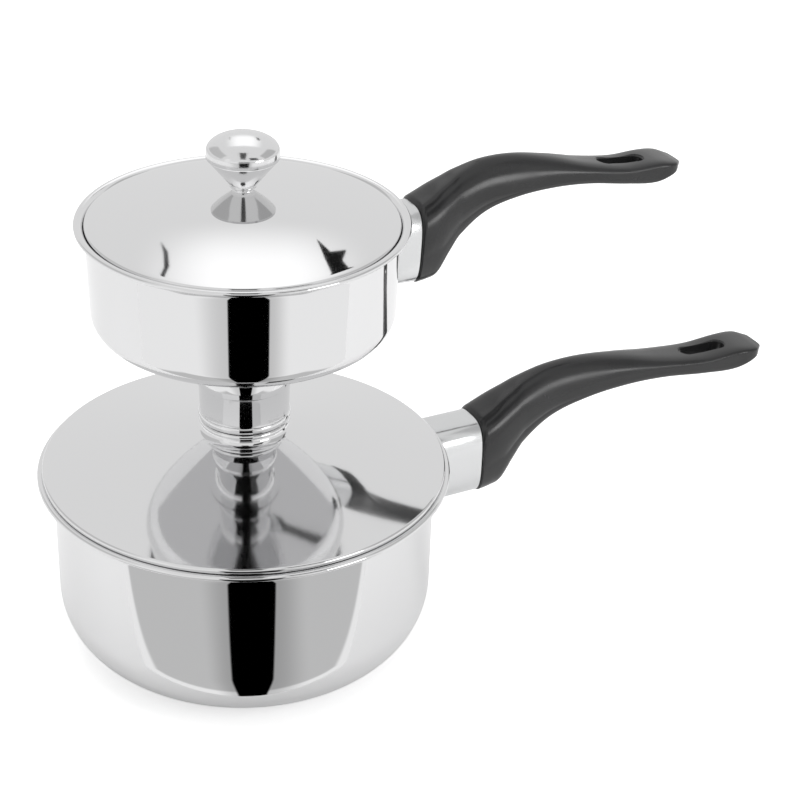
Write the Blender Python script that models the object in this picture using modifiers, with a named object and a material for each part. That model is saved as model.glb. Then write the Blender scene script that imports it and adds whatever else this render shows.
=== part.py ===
"""Couscous steamer of polished stainless steel, modelled piece by piece.

A lower pot, a steam funnel that closes it, an upper pan whose collar slips over the funnel's neck,
a perforated plate inside the pan, and a lid with a knob. Both pans have a gooseneck handle.

Metres, +Z up. The origin is the centre of the lower pot's flat base, and both handles point along +X.
"""

import math
from dataclasses import dataclass

import bmesh
import bpy

# Clearances
SEAT_GAP = 0.0003
RUNNING_GAP = 0.0004
BORE_GAP = 0.0003

# Facets round an axis: the large turned pieces, the small ones, and a hole in the plate
LARGE_FACETS = 36
SMALL_FACETS = 20
HOLE_FACETS = 6

# Lower pot
POT_SHEET = 0.0008
POT_BODY_RADIUS = 0.0914
POT_DRAFT_DEG = 0.3
POT_CORNER_RADIUS = 0.0323
POT_HEIGHT = 0.0942
POT_LIP_WIDTH = 0.0076
POT_LIP_HEIGHT = 0.0090
POT_CURL_RADIUS = 0.0014

# Steam funnel, whose rise is measured from the middle of its hem to the foot of its neck
FUNNEL_SHEET = 0.0007
FUNNEL_EDGE_INSET = 0.0024
FUNNEL_HEM_RADIUS = 0.0014
FUNNEL_RISE = 0.0229
FUNNEL_FILLET = 0.0042
NECK_RADIUS = 0.0200
NECK_BEAD_DEPTH = 0.0017
NECK_BEAD_HEIGHT = 0.0031
NECK_SPIGOT_LENGTH = 0.0160

# Upper pan
PAN_SHEET = 0.0008
PAN_BODY_RADIUS = 0.0715
PAN_DRAFT_DEG = 1.7
PAN_CORNER_RADIUS = 0.0091
PAN_HEIGHT = 0.0521
PAN_LIP_WIDTH = 0.0048
PAN_LIP_HEIGHT = 0.0060
PAN_CURL_RADIUS = 0.0012
STEAM_HOLE_RADIUS = 0.0185

# Collar under the upper pan
COLLAR_SHEET = 0.0008
COLLAR_HEIGHT = 0.0485
COLLAR_FLARE = 0.0006
COLLAR_BEAD_DEPTH = 0.0008
COLLAR_BEAD_HEIGHT = 0.0034
COLLAR_BAND_BOTTOM = 0.0182
COLLAR_BAND_HEIGHT = 0.0084
COLLAR_BAND_DEPTH = 0.0007
COLLAR_BAND_SLOPE = 0.0008
COLLAR_FLANGE_WIDTH = 0.0060
COLLAR_FILLET = 0.0025

# Perforated plate on the upper pan's floor
PLATE_SHEET = 0.0007
PLATE_FLOOR_MARGIN = 0.0020
PLATE_HEIGHT = 0.0065
PLATE_SHOULDER = 0.0020
PLATE_HOLE_RADIUS = 0.0022
PLATE_HOLE_PITCH = 0.0135
PLATE_HOLE_MARGIN = 0.0040

# Lid
LID_SHEET = 0.0007
LID_OVERLAP = 0.0009
LID_HEM_RADIUS = 0.0011
LID_RISE = 0.0040

# Knob
KNOB_SHEET = 0.0007
KNOB_SKIRT_RADIUS = 0.0146
KNOB_SKIRT_TOP_RADIUS = 0.0057
KNOB_SKIRT_HEIGHT = 0.0090
KNOB_SKIRT_BULGE = 0.0003
KNOB_SKIRT_LIP = 0.0010
KNOB_NECK_RADIUS = 0.0040
KNOB_NECK_HEIGHT = 0.0026
KNOB_FOOT_RADIUS = 0.0052
KNOB_CONE_HEIGHT = 0.0139
KNOB_RADIUS = 0.0166
KNOB_BAND_HEIGHT = 0.0032
KNOB_DOME_HEIGHT = 0.0077
KNOB_SCREW_RADIUS = 0.0020
KNOB_SCREW_HEAD_RADIUS = 0.0036
KNOB_SCREW_HEAD_HEIGHT = 0.0024
KNOB_SCREW_ENGAGEMENT = 0.0080
KNOB_WASHER_RADIUS = 0.0046
KNOB_WASHER_THICKNESS = 0.0008

# Handles: the pot's, and the pan's, whose sections have the same pattern in a smaller size
POT_HANDLE_LENGTH = 0.1763
PAN_HANDLE_LENGTH = 0.1486
PAN_SECTION_SCALE = 0.935
POT_FERRULE_LENGTH = 0.0343
PAN_FERRULE_LENGTH = 0.0149
POT_FERRULE_CLEARANCE = 0.0004
PAN_FERRULE_CLEARANCE = 0.0051
PAN_HANDLE_TILT_DEG = -2.2
ROOT_HALF_HEIGHT = 0.0214
ROOT_HALF_WIDTH = 0.0146
ROOT_SQUARENESS = 3.3
SECTION_POINTS = 24
SPIGOT_LENGTH = 0.0060
SLOT_LENGTH = 0.0275
SLOT_WIDTH = 0.0086
SLOT_TAIL_MARGIN = 0.0204
SLOT_FACETS = 16

# Sections of the pot's handle past its root: share of the length, rise of the centre, half height,
# half width and squareness of the rounded rectangle
HANDLE_SECTIONS = (
    (0.045, 0.0024, 0.0228, 0.0146, 3.3),
    (0.079, 0.0051, 0.0234, 0.0140, 3.3),
    (0.118, 0.0115, 0.0202, 0.0127, 3.2),
    (0.157, 0.0176, 0.0173, 0.0114, 3.2),
    (0.247, 0.0253, 0.0138, 0.0099, 3.2),
    (0.360, 0.0286, 0.0111, 0.0096, 3.2),
    (0.500, 0.0279, 0.0082, 0.0098, 3.3),
    (0.640, 0.0252, 0.0057, 0.0107, 3.6),
    (0.781, 0.0223, 0.0051, 0.0119, 4.5),
    (0.899, 0.0219, 0.0059, 0.0122, 6.0),
    (0.966, 0.0233, 0.0034, 0.0120, 6.0),
    (1.000, 0.0240, 0.0014, 0.0070, 4.0),
)

# Ferrule between a pan's wall and its handle
FERRULE_SHEET = 0.0008
FERRULE_STEP = 0.0006

# Screw that draws each handle onto the stud welded to the wall
HANDLE_SCREW_DROP = 0.0075
HANDLE_SCREW_SEAT = 0.0130
HANDLE_SCREW_RADIUS = 0.0025
HANDLE_SCREW_HEAD_RADIUS = 0.0042
HANDLE_SCREW_HEAD_HEIGHT = 0.0030
HANDLE_WASHER_RADIUS = 0.0045
HANDLE_WASHER_THICKNESS = 0.0008
COUNTERBORE_CLEARANCE = 0.0006
COUNTERBORE_LENGTH = 0.0200
STUD_RADIUS = 0.0062
STUD_FLANGE_RADIUS = 0.0090
STUD_FLANGE_THICKNESS = 0.0030
POT_SCREW_ENGAGEMENT = 0.0100
PAN_SCREW_ENGAGEMENT = 0.0040

# Recess in every screw's head
RECESS_RADIUS = 0.0016
RECESS_DEPTH = 0.0013

# Length by which a piece is built into what trims it, and by which a cutter passes what it cuts
OVERRUN = 0.0040


@dataclass(frozen=True)
class Finish:
    """Colour, roughness and metallic value of a surface."""

    colour: tuple
    roughness: float
    metallic: float


MIRROR_STEEL = Finish((0.78, 0.78, 0.79), 0.08, 1.0)
SATIN_STEEL = Finish((0.76, 0.77, 0.78), 0.25, 1.0)
PLAIN_STEEL = Finish((0.62, 0.62, 0.63), 0.35, 1.0)
BLACK_PHENOLIC = Finish((0.012, 0.012, 0.013), 0.25, 0.0)


@dataclass(frozen=True)
class Vessel:
    """Outer sizes of a drawn pan with a flared, curled lip."""

    sheet: float
    body_radius: float
    draft_deg: float
    corner_radius: float
    height: float
    lip_width: float
    lip_height: float
    curl_radius: float
    floor_hole: float
    base_z: float

    @property
    def rim_radius(self):
        return self.body_radius + self.lip_width

    @property
    def rim_z(self):
        return self.base_z + self.height

    @property
    def floor_z(self):
        return self.base_z + self.sheet

    @property
    def inner_radius(self):
        return self.body_radius - self.sheet

    @property
    def flare_width(self):
        """Width of the flare between the wall and the middle of the curl."""
        return self.lip_width - self.curl_radius

    @property
    def flare_rise(self):
        """Rise of the lip's underside between the wall and the curl."""
        return self.lip_height - self.sheet

    def wall_radius(self, height):
        """Outer wall radius at a height over the base."""
        drop = self.height - self.lip_height - height
        return self.body_radius - drop * math.tan(math.radians(self.draft_deg))

    @property
    def flat_radius(self):
        """Radius of the flat base, inside the round corner."""
        return self.wall_radius(self.corner_radius) - self.corner_radius


@dataclass(frozen=True)
class Grip:
    """A gooseneck handle with its ferrule, stud and screw, in a frame whose +X runs out along it."""

    side: str
    vessel: Vessel
    length: float
    scale: float
    ferrule_length: float
    ferrule_clearance: float
    tilt_deg: float
    engagement: float

    @property
    def root_half(self):
        """Half width and half height of the handle where it meets the ferrule."""
        return ROOT_HALF_WIDTH * self.scale, ROOT_HALF_HEIGHT * self.scale

    @property
    def ferrule_half(self):
        return tuple(half - FERRULE_STEP for half in self.root_half)

    @property
    def spigot_half(self):
        return tuple(half - FERRULE_SHEET - SEAT_GAP for half in self.ferrule_half)

    @property
    def joint_height(self):
        """Height of the ferrule's centre over the pan's base, below the curl and a clearance."""
        top = self.vessel.height - 2 * self.vessel.curl_radius - self.ferrule_clearance
        return top - self.ferrule_half[1]

    @property
    def joint_radius(self):
        """Distance from the pan's axis to the joint between ferrule and handle."""
        return self.vessel.wall_radius(self.joint_height) + self.ferrule_length

    @property
    def screw_seat(self):
        """Reach of the counterbore's floor, where the washer sits."""
        return HANDLE_SCREW_SEAT * self.scale

    @property
    def stud_end(self):
        """Reach of the stud's free end, one gap short of the handle's spigot."""
        return -SPIGOT_LENGTH - SEAT_GAP


def clear_scene():
    for obj in list(bpy.data.objects):
        bpy.data.objects.remove(obj, do_unlink=True)


def new_collection(name):
    collection = bpy.data.collections.new(name)
    bpy.context.scene.collection.children.link(collection)
    return collection


def principled(name, finish):
    material = bpy.data.materials.new(name)
    material.use_nodes = True
    shader = material.node_tree.nodes["Principled BSDF"]
    shader.inputs["Base Color"].default_value = (*finish.colour, 1.0)
    shader.inputs["Roughness"].default_value = finish.roughness
    shader.inputs["Metallic"].default_value = finish.metallic
    return material


class Bench:
    """Holds the collections that the pieces and their cutters go into."""

    def __init__(self):
        self.parts = new_collection("couscous_steamer")
        self.cutters = new_collection("cutters")

    def add_part(self, name, mesh, finish):
        """Adds a piece with a material of its own."""
        mesh.materials.append(principled(name + "_finish", finish))
        obj = bpy.data.objects.new(name, mesh)
        self.parts.objects.link(obj)
        return obj

    def add_cutter(self, name, mesh):
        """Adds a helper that only takes material away."""
        obj = bpy.data.objects.new(name, mesh)
        self.cutters.objects.link(obj)
        obj.hide_render = True
        obj.display_type = "WIRE"
        return obj

    def add_empty(self, name, location, rotation):
        empty = bpy.data.objects.new(name, None)
        empty.location = location
        empty.rotation_euler = rotation
        self.parts.objects.link(empty)
        return empty


def arc(centre, radii, start, end, steps):
    """Points of an elliptical arc in the (radius, height) plane, in degrees from +r towards +z."""
    points = []
    for step in range(steps + 1):
        turn = math.radians(start + (end - start) * step / steps)
        points.append((centre[0] + radii[0] * math.cos(turn), centre[1] + radii[1] * math.sin(turn)))
    return points


def profile_mesh(name, points, closed=False):
    mesh = bpy.data.meshes.new(name)
    edges = [(i, i + 1) for i in range(len(points) - 1)]
    if closed:
        edges.append((len(points) - 1, 0))
    mesh.from_pydata([(radius, 0.0, height) for radius, height in points], edges, [])
    return mesh


def spin(obj, facets):
    """Turns a profile round its Z axis. It runs down the outer side, so that the faces look out."""
    screw = obj.modifiers.new("Turn", "SCREW")
    screw.axis = "Z"
    screw.steps = facets
    screw.render_steps = facets
    screw.use_merge_vertices = True
    screw.merge_threshold = 0.000001
    screw.use_smooth_shade = True
    return obj


def thicken(obj, sheet):
    """Gives an outer skin its sheet thickness, inwards."""
    solidify = obj.modifiers.new("Sheet", "SOLIDIFY")
    solidify.thickness = sheet
    solidify.offset = -1.0
    solidify.use_even_offset = True
    return obj


def cut(obj, cutter):
    boolean = obj.modifiers.new(cutter.name, "BOOLEAN")
    boolean.operation = "DIFFERENCE"
    boolean.solver = "EXACT"
    boolean.object = cutter


def cylinder_mesh(name, radius, length, facets):
    """A closed cylinder along Z, centred on the origin."""
    shape = bmesh.new()
    bmesh.ops.create_cone(
        shape, cap_ends=True, segments=facets, radius1=radius, radius2=radius, depth=length
    )
    mesh = bpy.data.meshes.new(name)
    shape.to_mesh(mesh)
    shape.free()
    return mesh


def flare_point(vessel, turn, offset):
    """A point of the lip's underside, moved by an offset through the sheet to its upper side."""
    slope_r = vessel.flare_width * math.sin(turn)
    slope_z = vessel.flare_rise * math.cos(turn)
    size = math.hypot(slope_r, slope_z)
    radius = vessel.body_radius + vessel.flare_width * (1 - math.cos(turn)) - offset * slope_z / size
    height = vessel.flare_rise * math.sin(turn) + offset * slope_r / size
    return radius, vessel.rim_z - vessel.lip_height + height


def hem_rest(vessel, radius, hem_radius):
    """Height of the middle of a round hem that rests on the lip's flare at a radius."""
    offset = vessel.sheet + SEAT_GAP + hem_radius
    low, high = 0.0, math.pi / 2
    for _ in range(40):
        middle = (low + high) / 2
        if flare_point(vessel, middle, offset)[0] < radius:
            low = middle
        else:
            high = middle
    return flare_point(vessel, low, offset)[1]


def wall_outline(vessel):
    """The outer skin from the flare's outer end, down the wall and round to the base's flat."""
    flare = [flare_point(vessel, math.radians(turn), 0.0) for turn in (90, 60, 30, 0)]
    corner = vessel.corner_radius
    centre = (vessel.flat_radius, vessel.base_z + corner)
    return flare + arc(centre, (corner, corner), 0, -90, 6)


def build_vessel(bench, name, vessel):
    """A drawn pan: curled lip, drafted wall, round corner and flat base with an optional hole."""
    centre = (vessel.rim_radius - vessel.curl_radius, vessel.rim_z - vessel.curl_radius)
    inner = vessel.curl_radius - vessel.sheet
    points = arc(centre, (inner, inner), -60, 90, 4)
    points += wall_outline(vessel)[1:]
    points.append((vessel.floor_hole, vessel.base_z))
    pan = bench.add_part(name, profile_mesh(name, points), MIRROR_STEEL)
    return thicken(spin(pan, LARGE_FACETS), vessel.sheet)


def build_wall_cutter(bench, name, vessel):
    """The room that a pan's outside takes up, one gap larger, which trims what is welded to it."""
    grown = Vessel(
        vessel.sheet, vessel.body_radius + SEAT_GAP, vessel.draft_deg, vessel.corner_radius, vessel.height,
        vessel.lip_width, vessel.lip_height + SEAT_GAP, vessel.curl_radius, 0.0, vessel.base_z,
    )
    outline = wall_outline(grown)
    top = grown.rim_z + OVERRUN
    points = [(0.0, top), (outline[0][0], top)] + outline + [(0.0, vessel.base_z)]
    cutter = bench.add_cutter(name, profile_mesh(name, points))
    return spin(cutter, LARGE_FACETS)


@dataclass(frozen=True)
class Funnel:
    """Places on the steam funnel that other pieces are set against."""

    hem_r: float
    hem_z: float

    @property
    def neck_foot_z(self):
        return self.hem_z + FUNNEL_RISE

    @property
    def bead_top_z(self):
        return self.neck_foot_z + NECK_BEAD_HEIGHT


def funnel_on(vessel):
    """The funnel whose hem rests on a vessel's lip."""
    hem_r = vessel.rim_radius - FUNNEL_EDGE_INSET - FUNNEL_HEM_RADIUS
    return Funnel(hem_r, hem_rest(vessel, hem_r, FUNNEL_HEM_RADIUS))


def build_funnel(bench, funnel):
    """Spigot, stop bead, fillet and cone, ending in a hem that is rolled under."""
    fillet_r = NECK_RADIUS + FUNNEL_FILLET
    run = funnel.hem_r - fillet_r
    fall = FUNNEL_RISE
    reach = FUNNEL_FILLET + FUNNEL_HEM_RADIUS
    slope = math.degrees(math.atan2(fall, run) - math.asin(reach / math.hypot(run, fall)))
    half_bead = NECK_BEAD_HEIGHT / 2
    points = [(NECK_RADIUS, funnel.bead_top_z + NECK_SPIGOT_LENGTH)]
    points += arc(
        (NECK_RADIUS, funnel.neck_foot_z + half_bead), (NECK_BEAD_DEPTH, half_bead), 90, -90, 4
    )
    points += arc((fillet_r, funnel.neck_foot_z), (FUNNEL_FILLET, FUNNEL_FILLET), 180, 270 - slope, 3)[1:]
    points += arc(
        (funnel.hem_r, funnel.hem_z), (FUNNEL_HEM_RADIUS, FUNNEL_HEM_RADIUS), 90 - slope, -135, 5
    )
    cover = bench.add_part("steam_funnel", profile_mesh("steam_funnel", points), MIRROR_STEEL)
    return thicken(spin(cover, LARGE_FACETS), FUNNEL_SHEET)


def build_collar(bench, bottom_z):
    """The sleeve under the upper pan: a flange to weld it by, a raised band and a beaded mouth."""
    mouth_r = NECK_RADIUS + RUNNING_GAP + COLLAR_SHEET
    top_z = bottom_z + COLLAR_HEIGHT - COLLAR_SHEET
    top_r = mouth_r + COLLAR_FLARE
    fillet_centre = (top_r + COLLAR_FILLET, top_z - COLLAR_FILLET)
    band_z = bottom_z + COLLAR_BAND_BOTTOM
    band_top_z = band_z + COLLAR_BAND_HEIGHT
    band_r = top_r + COLLAR_BAND_DEPTH
    half_bead = COLLAR_BEAD_HEIGHT / 2
    points = [(top_r + COLLAR_FLANGE_WIDTH, top_z)]
    points += arc(fillet_centre, (COLLAR_FILLET, COLLAR_FILLET), 90, 180, 2)
    points.append((top_r, band_top_z))
    points.append((band_r, band_top_z - COLLAR_BAND_SLOPE))
    points.append((band_r, band_z + COLLAR_BAND_SLOPE))
    points.append((top_r, band_z))
    points.append((mouth_r, bottom_z + COLLAR_BEAD_HEIGHT + COLLAR_BEAD_DEPTH))
    points += arc((mouth_r, bottom_z + half_bead), (COLLAR_BEAD_DEPTH, half_bead), 60, -60, 3)
    points.append((mouth_r, bottom_z))
    collar = bench.add_part("pan_collar", profile_mesh("pan_collar", points), MIRROR_STEEL)
    return thicken(spin(collar, SMALL_FACETS), COLLAR_SHEET)


def build_plate(bench, pan):
    """The perforated plate that keeps the couscous off the steam hole, on a skirt round its edge."""
    skirt_r = pan.flat_radius - PLATE_FLOOR_MARGIN
    foot_z = pan.floor_z + SEAT_GAP
    top_z = foot_z + PLATE_HEIGHT
    flat_r = skirt_r - PLATE_SHOULDER
    points = [(0.0, top_z)]
    points += arc((flat_r, top_z - PLATE_SHOULDER), (PLATE_SHOULDER, PLATE_SHOULDER), 90, 0, 2)
    points.append((skirt_r, foot_z))
    plate = bench.add_part("sieve_plate", profile_mesh("sieve_plate", points), MIRROR_STEEL)
    thicken(spin(plate, LARGE_FACETS), PLATE_SHEET)

    punches = bmesh.new()
    rings = int((flat_r - PLATE_HOLE_RADIUS - PLATE_HOLE_MARGIN) / PLATE_HOLE_PITCH)
    for ring in range(rings + 1):
        count = max(6 * ring, 1)
        for step in range(count):
            turn = 2 * math.pi * (step + 0.5) / count
            made = bmesh.ops.create_cone(
                punches, cap_ends=True, segments=HOLE_FACETS,
                radius1=PLATE_HOLE_RADIUS, radius2=PLATE_HOLE_RADIUS, depth=PLATE_SHEET + 2 * OVERRUN,
            )
            radius = ring * PLATE_HOLE_PITCH
            place = (radius * math.cos(turn), radius * math.sin(turn), top_z)
            bmesh.ops.translate(punches, verts=made["verts"], vec=place)
    mesh = bpy.data.meshes.new("plate_punches")
    punches.to_mesh(mesh)
    punches.free()
    cut(plate, bench.add_cutter("plate_punches", mesh))
    return plate


@dataclass(frozen=True)
class Dome:
    """The lid's crown: part of a sphere that runs into the round hem at its edge."""

    hem_r: float
    hem_z: float

    @property
    def edge_slope(self):
        return 2 * math.atan(LID_RISE / self.hem_r)

    @property
    def sphere_radius(self):
        return self.hem_r / math.sin(self.edge_slope) + LID_HEM_RADIUS

    @property
    def centre_z(self):
        return self.hem_z - (self.sphere_radius - LID_HEM_RADIUS) * math.cos(self.edge_slope)

    def height_at(self, radius):
        """Height of the lid's upper side at a radius."""
        return self.centre_z + math.sqrt(self.sphere_radius ** 2 - radius ** 2)


def dome_on(pan):
    """The lid whose hem rests inside a pan's lip."""
    hem_r = pan.inner_radius + LID_OVERLAP - LID_HEM_RADIUS
    return Dome(hem_r, hem_rest(pan, hem_r, LID_HEM_RADIUS))


def build_lid(bench, dome):
    hole_r = KNOB_SCREW_RADIUS + BORE_GAP
    slope = math.degrees(dome.edge_slope)
    first = math.degrees(math.asin(hole_r / dome.sphere_radius))
    sphere = (dome.sphere_radius, dome.sphere_radius)
    points = arc((0.0, dome.centre_z), sphere, 90 - first, 90 - slope, 5)
    points += arc((dome.hem_r, dome.hem_z), (LID_HEM_RADIUS, LID_HEM_RADIUS), 90 - slope, -135, 4)[1:]
    lid = bench.add_part("lid", profile_mesh("lid", points), MIRROR_STEEL)
    return thicken(spin(lid, LARGE_FACETS), LID_SHEET)


def build_washer(bench, name, bottom, outer_radius, hole_radius, thickness):
    top = bottom + thickness
    points = [(outer_radius, top), (outer_radius, bottom), (hole_radius, bottom), (hole_radius, top)]
    washer = bench.add_part(name, profile_mesh(name, points, closed=True), PLAIN_STEEL)
    return spin(washer, SMALL_FACETS)


def screw_points(tip, under_head, head_top, shaft_radius, head_radius):
    """Profile of a screw whose head is on top, with a round recess in it."""
    recess_z = head_top - RECESS_DEPTH
    return [
        (0.0, recess_z), (RECESS_RADIUS, recess_z), (RECESS_RADIUS, head_top), (head_radius, head_top),
        (head_radius, under_head), (shaft_radius, under_head), (shaft_radius, tip), (0.0, tip),
    ]


def build_knob(bench, dome):
    """Skirt, body, cap, washer and screw of the lid's knob."""
    skirt_foot_z = dome.height_at(KNOB_SKIRT_RADIUS) + SEAT_GAP
    skirt_top_z = skirt_foot_z + KNOB_SKIRT_HEIGHT
    hole_r = KNOB_SCREW_RADIUS + BORE_GAP
    middle_r = (KNOB_SKIRT_RADIUS + KNOB_SKIRT_TOP_RADIUS) / 2 + KNOB_SKIRT_BULGE
    middle_z = (skirt_foot_z + skirt_top_z) / 2 + KNOB_SKIRT_BULGE
    points = [
        (hole_r, skirt_top_z), (KNOB_SKIRT_TOP_RADIUS, skirt_top_z), (middle_r, middle_z),
        (KNOB_SKIRT_RADIUS, skirt_foot_z + KNOB_SKIRT_LIP), (KNOB_SKIRT_RADIUS, skirt_foot_z),
    ]
    skirt = bench.add_part("knob_skirt", profile_mesh("knob_skirt", points), MIRROR_STEEL)
    thicken(spin(skirt, SMALL_FACETS), KNOB_SHEET)

    neck_z = skirt_top_z + SEAT_GAP
    foot_z = neck_z + KNOB_NECK_HEIGHT
    shoulder_z = foot_z + KNOB_CONE_HEIGHT
    cap_z = shoulder_z + SEAT_GAP
    cap_top_z = cap_z + KNOB_BAND_HEIGHT
    rim_r = KNOB_RADIUS - KNOB_SHEET - SEAT_GAP
    bore_end_z = neck_z + KNOB_SCREW_ENGAGEMENT + SEAT_GAP
    points = [
        (0.0, cap_top_z), (rim_r, cap_top_z), (rim_r, shoulder_z),
        (KNOB_RADIUS - SEAT_GAP, shoulder_z), (KNOB_FOOT_RADIUS, foot_z), (KNOB_NECK_RADIUS, foot_z),
        (KNOB_NECK_RADIUS, neck_z), (hole_r, neck_z), (hole_r, bore_end_z), (0.0, bore_end_z),
    ]
    body = bench.add_part("knob_body", profile_mesh("knob_body", points), MIRROR_STEEL)
    spin(body, SMALL_FACETS)

    points = arc((0.0, cap_top_z), (KNOB_RADIUS, KNOB_DOME_HEIGHT), 90, 0, 5)
    points.append((KNOB_RADIUS, cap_z))
    cap = bench.add_part("knob_cap", profile_mesh("knob_cap", points), MIRROR_STEEL)
    thicken(spin(cap, SMALL_FACETS), KNOB_SHEET)

    under_lid_z = dome.height_at(KNOB_WASHER_RADIUS) - LID_SHEET - SEAT_GAP
    washer_z = under_lid_z - KNOB_WASHER_THICKNESS
    build_washer(bench, "knob_washer", washer_z, KNOB_WASHER_RADIUS, hole_r, KNOB_WASHER_THICKNESS)

    head_z = washer_z - SEAT_GAP
    tip = head_z - neck_z - KNOB_SCREW_ENGAGEMENT
    points = screw_points(tip, 0.0, KNOB_SCREW_HEAD_HEIGHT, KNOB_SCREW_RADIUS, KNOB_SCREW_HEAD_RADIUS)
    screw = bench.add_part("knob_screw", profile_mesh("knob_screw", points), PLAIN_STEEL)
    spin(screw, SMALL_FACETS)
    screw.location = (0.0, 0.0, head_z)
    screw.rotation_euler = (math.pi, 0.0, 0.0)


def rounded_ring(reach, rise, half_width, half_height, squareness):
    """Points round a rounded rectangle that faces +X, anticlockwise seen from +X."""
    power = 2.0 / squareness
    points = []
    for step in range(SECTION_POINTS):
        turn = 2 * math.pi * step / SECTION_POINTS
        side, up = math.cos(turn), math.sin(turn)
        across = half_width * math.copysign(abs(side) ** power, side)
        points.append((reach, across, rise + half_height * math.copysign(abs(up) ** power, up)))
    return points


def hermite(start, end, slope_start, slope_end, span, share):
    """Value between two sections whose slopes along the handle are known."""
    rest = 1 - share
    return (
        (1 + 2 * share) * rest ** 2 * start + share ** 2 * (3 - 2 * share) * end
        + share * rest ** 2 * span * slope_start - share ** 2 * rest * span * slope_end
    )


def handle_sections(grip):
    """Reach, rise, half width, half height and squareness along a handle, root to tail."""
    rows = [(0.0, 0.0, *grip.root_half, ROOT_SQUARENESS)]
    for share, rise, half_height, half_width, squareness in HANDLE_SECTIONS:
        sizes = [size * grip.scale for size in (rise, half_width, half_height)]
        rows.append((share * grip.length, *sizes, squareness))

    def slopes(index):
        before = rows[max(index - 1, 0)]
        after = rows[min(index + 1, len(rows) - 1)]
        return [(b - a) / (after[0] - before[0]) for a, b in zip(before[1:], after[1:])]

    filled = []
    for index in range(len(rows) - 1):
        start, end = rows[index], rows[index + 1]
        span = end[0] - start[0]
        between = zip(start[1:], end[1:], slopes(index), slopes(index + 1))
        middle = [hermite(*values, span, 0.5) for values in between]
        filled += [start, (start[0] + span / 2, *middle)]
    return filled + [rows[-1]]


def build_handle(bench, grip, mount):
    """The moulded handle: spigot, root, gooseneck and tail, with its screw hole and hanging slot."""
    name = grip.side + "_handle"
    spigot = (*grip.spigot_half, ROOT_SQUARENESS)
    rings = [rounded_ring(-SPIGOT_LENGTH, 0.0, *spigot), rounded_ring(0.0, 0.0, *spigot)]
    rings += [rounded_ring(*section) for section in handle_sections(grip)]
    shape = bmesh.new()
    loops = [[shape.verts.new(point) for point in ring] for ring in rings]
    for near, far in zip(loops, loops[1:]):
        for step in range(SECTION_POINTS):
            following = (step + 1) % SECTION_POINTS
            shape.faces.new((near[step], near[following], far[following], far[step]))
    shape.faces.new(list(reversed(loops[0])))
    shape.faces.new(loops[-1])
    mesh = bpy.data.meshes.new(name)
    shape.to_mesh(mesh)
    shape.free()
    mesh.shade_smooth()
    mesh.set_sharp_from_angle(angle=math.radians(35))
    handle = bench.add_part(name, mesh, BLACK_PHENOLIC)
    handle.parent = mount

    hole_length = grip.screw_seat + SPIGOT_LENGTH + 2 * OVERRUN
    hole_radius = HANDLE_SCREW_RADIUS + BORE_GAP
    bore_radius = HANDLE_SCREW_HEAD_RADIUS + COUNTERBORE_CLEARANCE
    holes = (
        ("_screw_hole", hole_radius, hole_length, grip.screw_seat - SPIGOT_LENGTH),
        ("_counterbore", bore_radius, COUNTERBORE_LENGTH, 2 * grip.screw_seat + COUNTERBORE_LENGTH),
    )
    for suffix, radius, length, twice_middle in holes:
        cutter = bench.add_cutter(name + suffix, cylinder_mesh(name + suffix, radius, length, SMALL_FACETS))
        cutter.parent = mount
        cutter.location = (twice_middle / 2, 0.0, -HANDLE_SCREW_DROP)
        cutter.rotation_euler = (0.0, math.pi / 2, 0.0)
        cut(handle, cutter)

    slot = build_slot_cutter(bench, grip)
    slot.parent = mount
    cut(handle, slot)
    return handle


def build_slot_cutter(bench, grip):
    """A slot with round ends, through the handle's tail from top to bottom."""
    name = grip.side + "_hanging_slot"
    radius = SLOT_WIDTH * grip.scale / 2
    half_straight = SLOT_LENGTH * grip.scale / 2 - radius
    height = 4 * ROOT_HALF_HEIGHT
    mesh = cylinder_mesh(name, radius, height, SLOT_FACETS)
    for vertex in mesh.vertices:
        vertex.co.y, vertex.co.x = vertex.co.x, -vertex.co.y
        vertex.co.x += math.copysign(half_straight, vertex.co.x)
    cutter = bench.add_cutter(name, mesh)
    cutter.location = (grip.length - (SLOT_TAIL_MARGIN + SLOT_LENGTH / 2) * grip.scale, 0.0, 0.0)
    return cutter


def build_ferrule(bench, grip, mount, wall):
    """The steel sleeve between the wall and the handle, trimmed to the wall's curve."""
    name = grip.side + "_ferrule"
    shape = bmesh.new()
    ring = [
        shape.verts.new(point)
        for point in rounded_ring(-SEAT_GAP, 0.0, *grip.ferrule_half, ROOT_SQUARENESS)
    ]
    edges = [shape.edges.new((ring[i - 1], ring[i])) for i in range(len(ring))]
    made = bmesh.ops.extrude_edge_only(shape, edges=edges)
    inner_end = [element for element in made["geom"] if isinstance(element, bmesh.types.BMVert)]
    bmesh.ops.translate(shape, verts=inner_end, vec=(-grip.ferrule_length - OVERRUN, 0.0, 0.0))
    mesh = bpy.data.meshes.new(name)
    shape.to_mesh(mesh)
    shape.free()
    mesh.shade_smooth()
    ferrule = bench.add_part(name, mesh, SATIN_STEEL)
    ferrule.parent = mount
    thicken(ferrule, FERRULE_SHEET)
    cut(ferrule, wall)
    return ferrule


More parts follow.
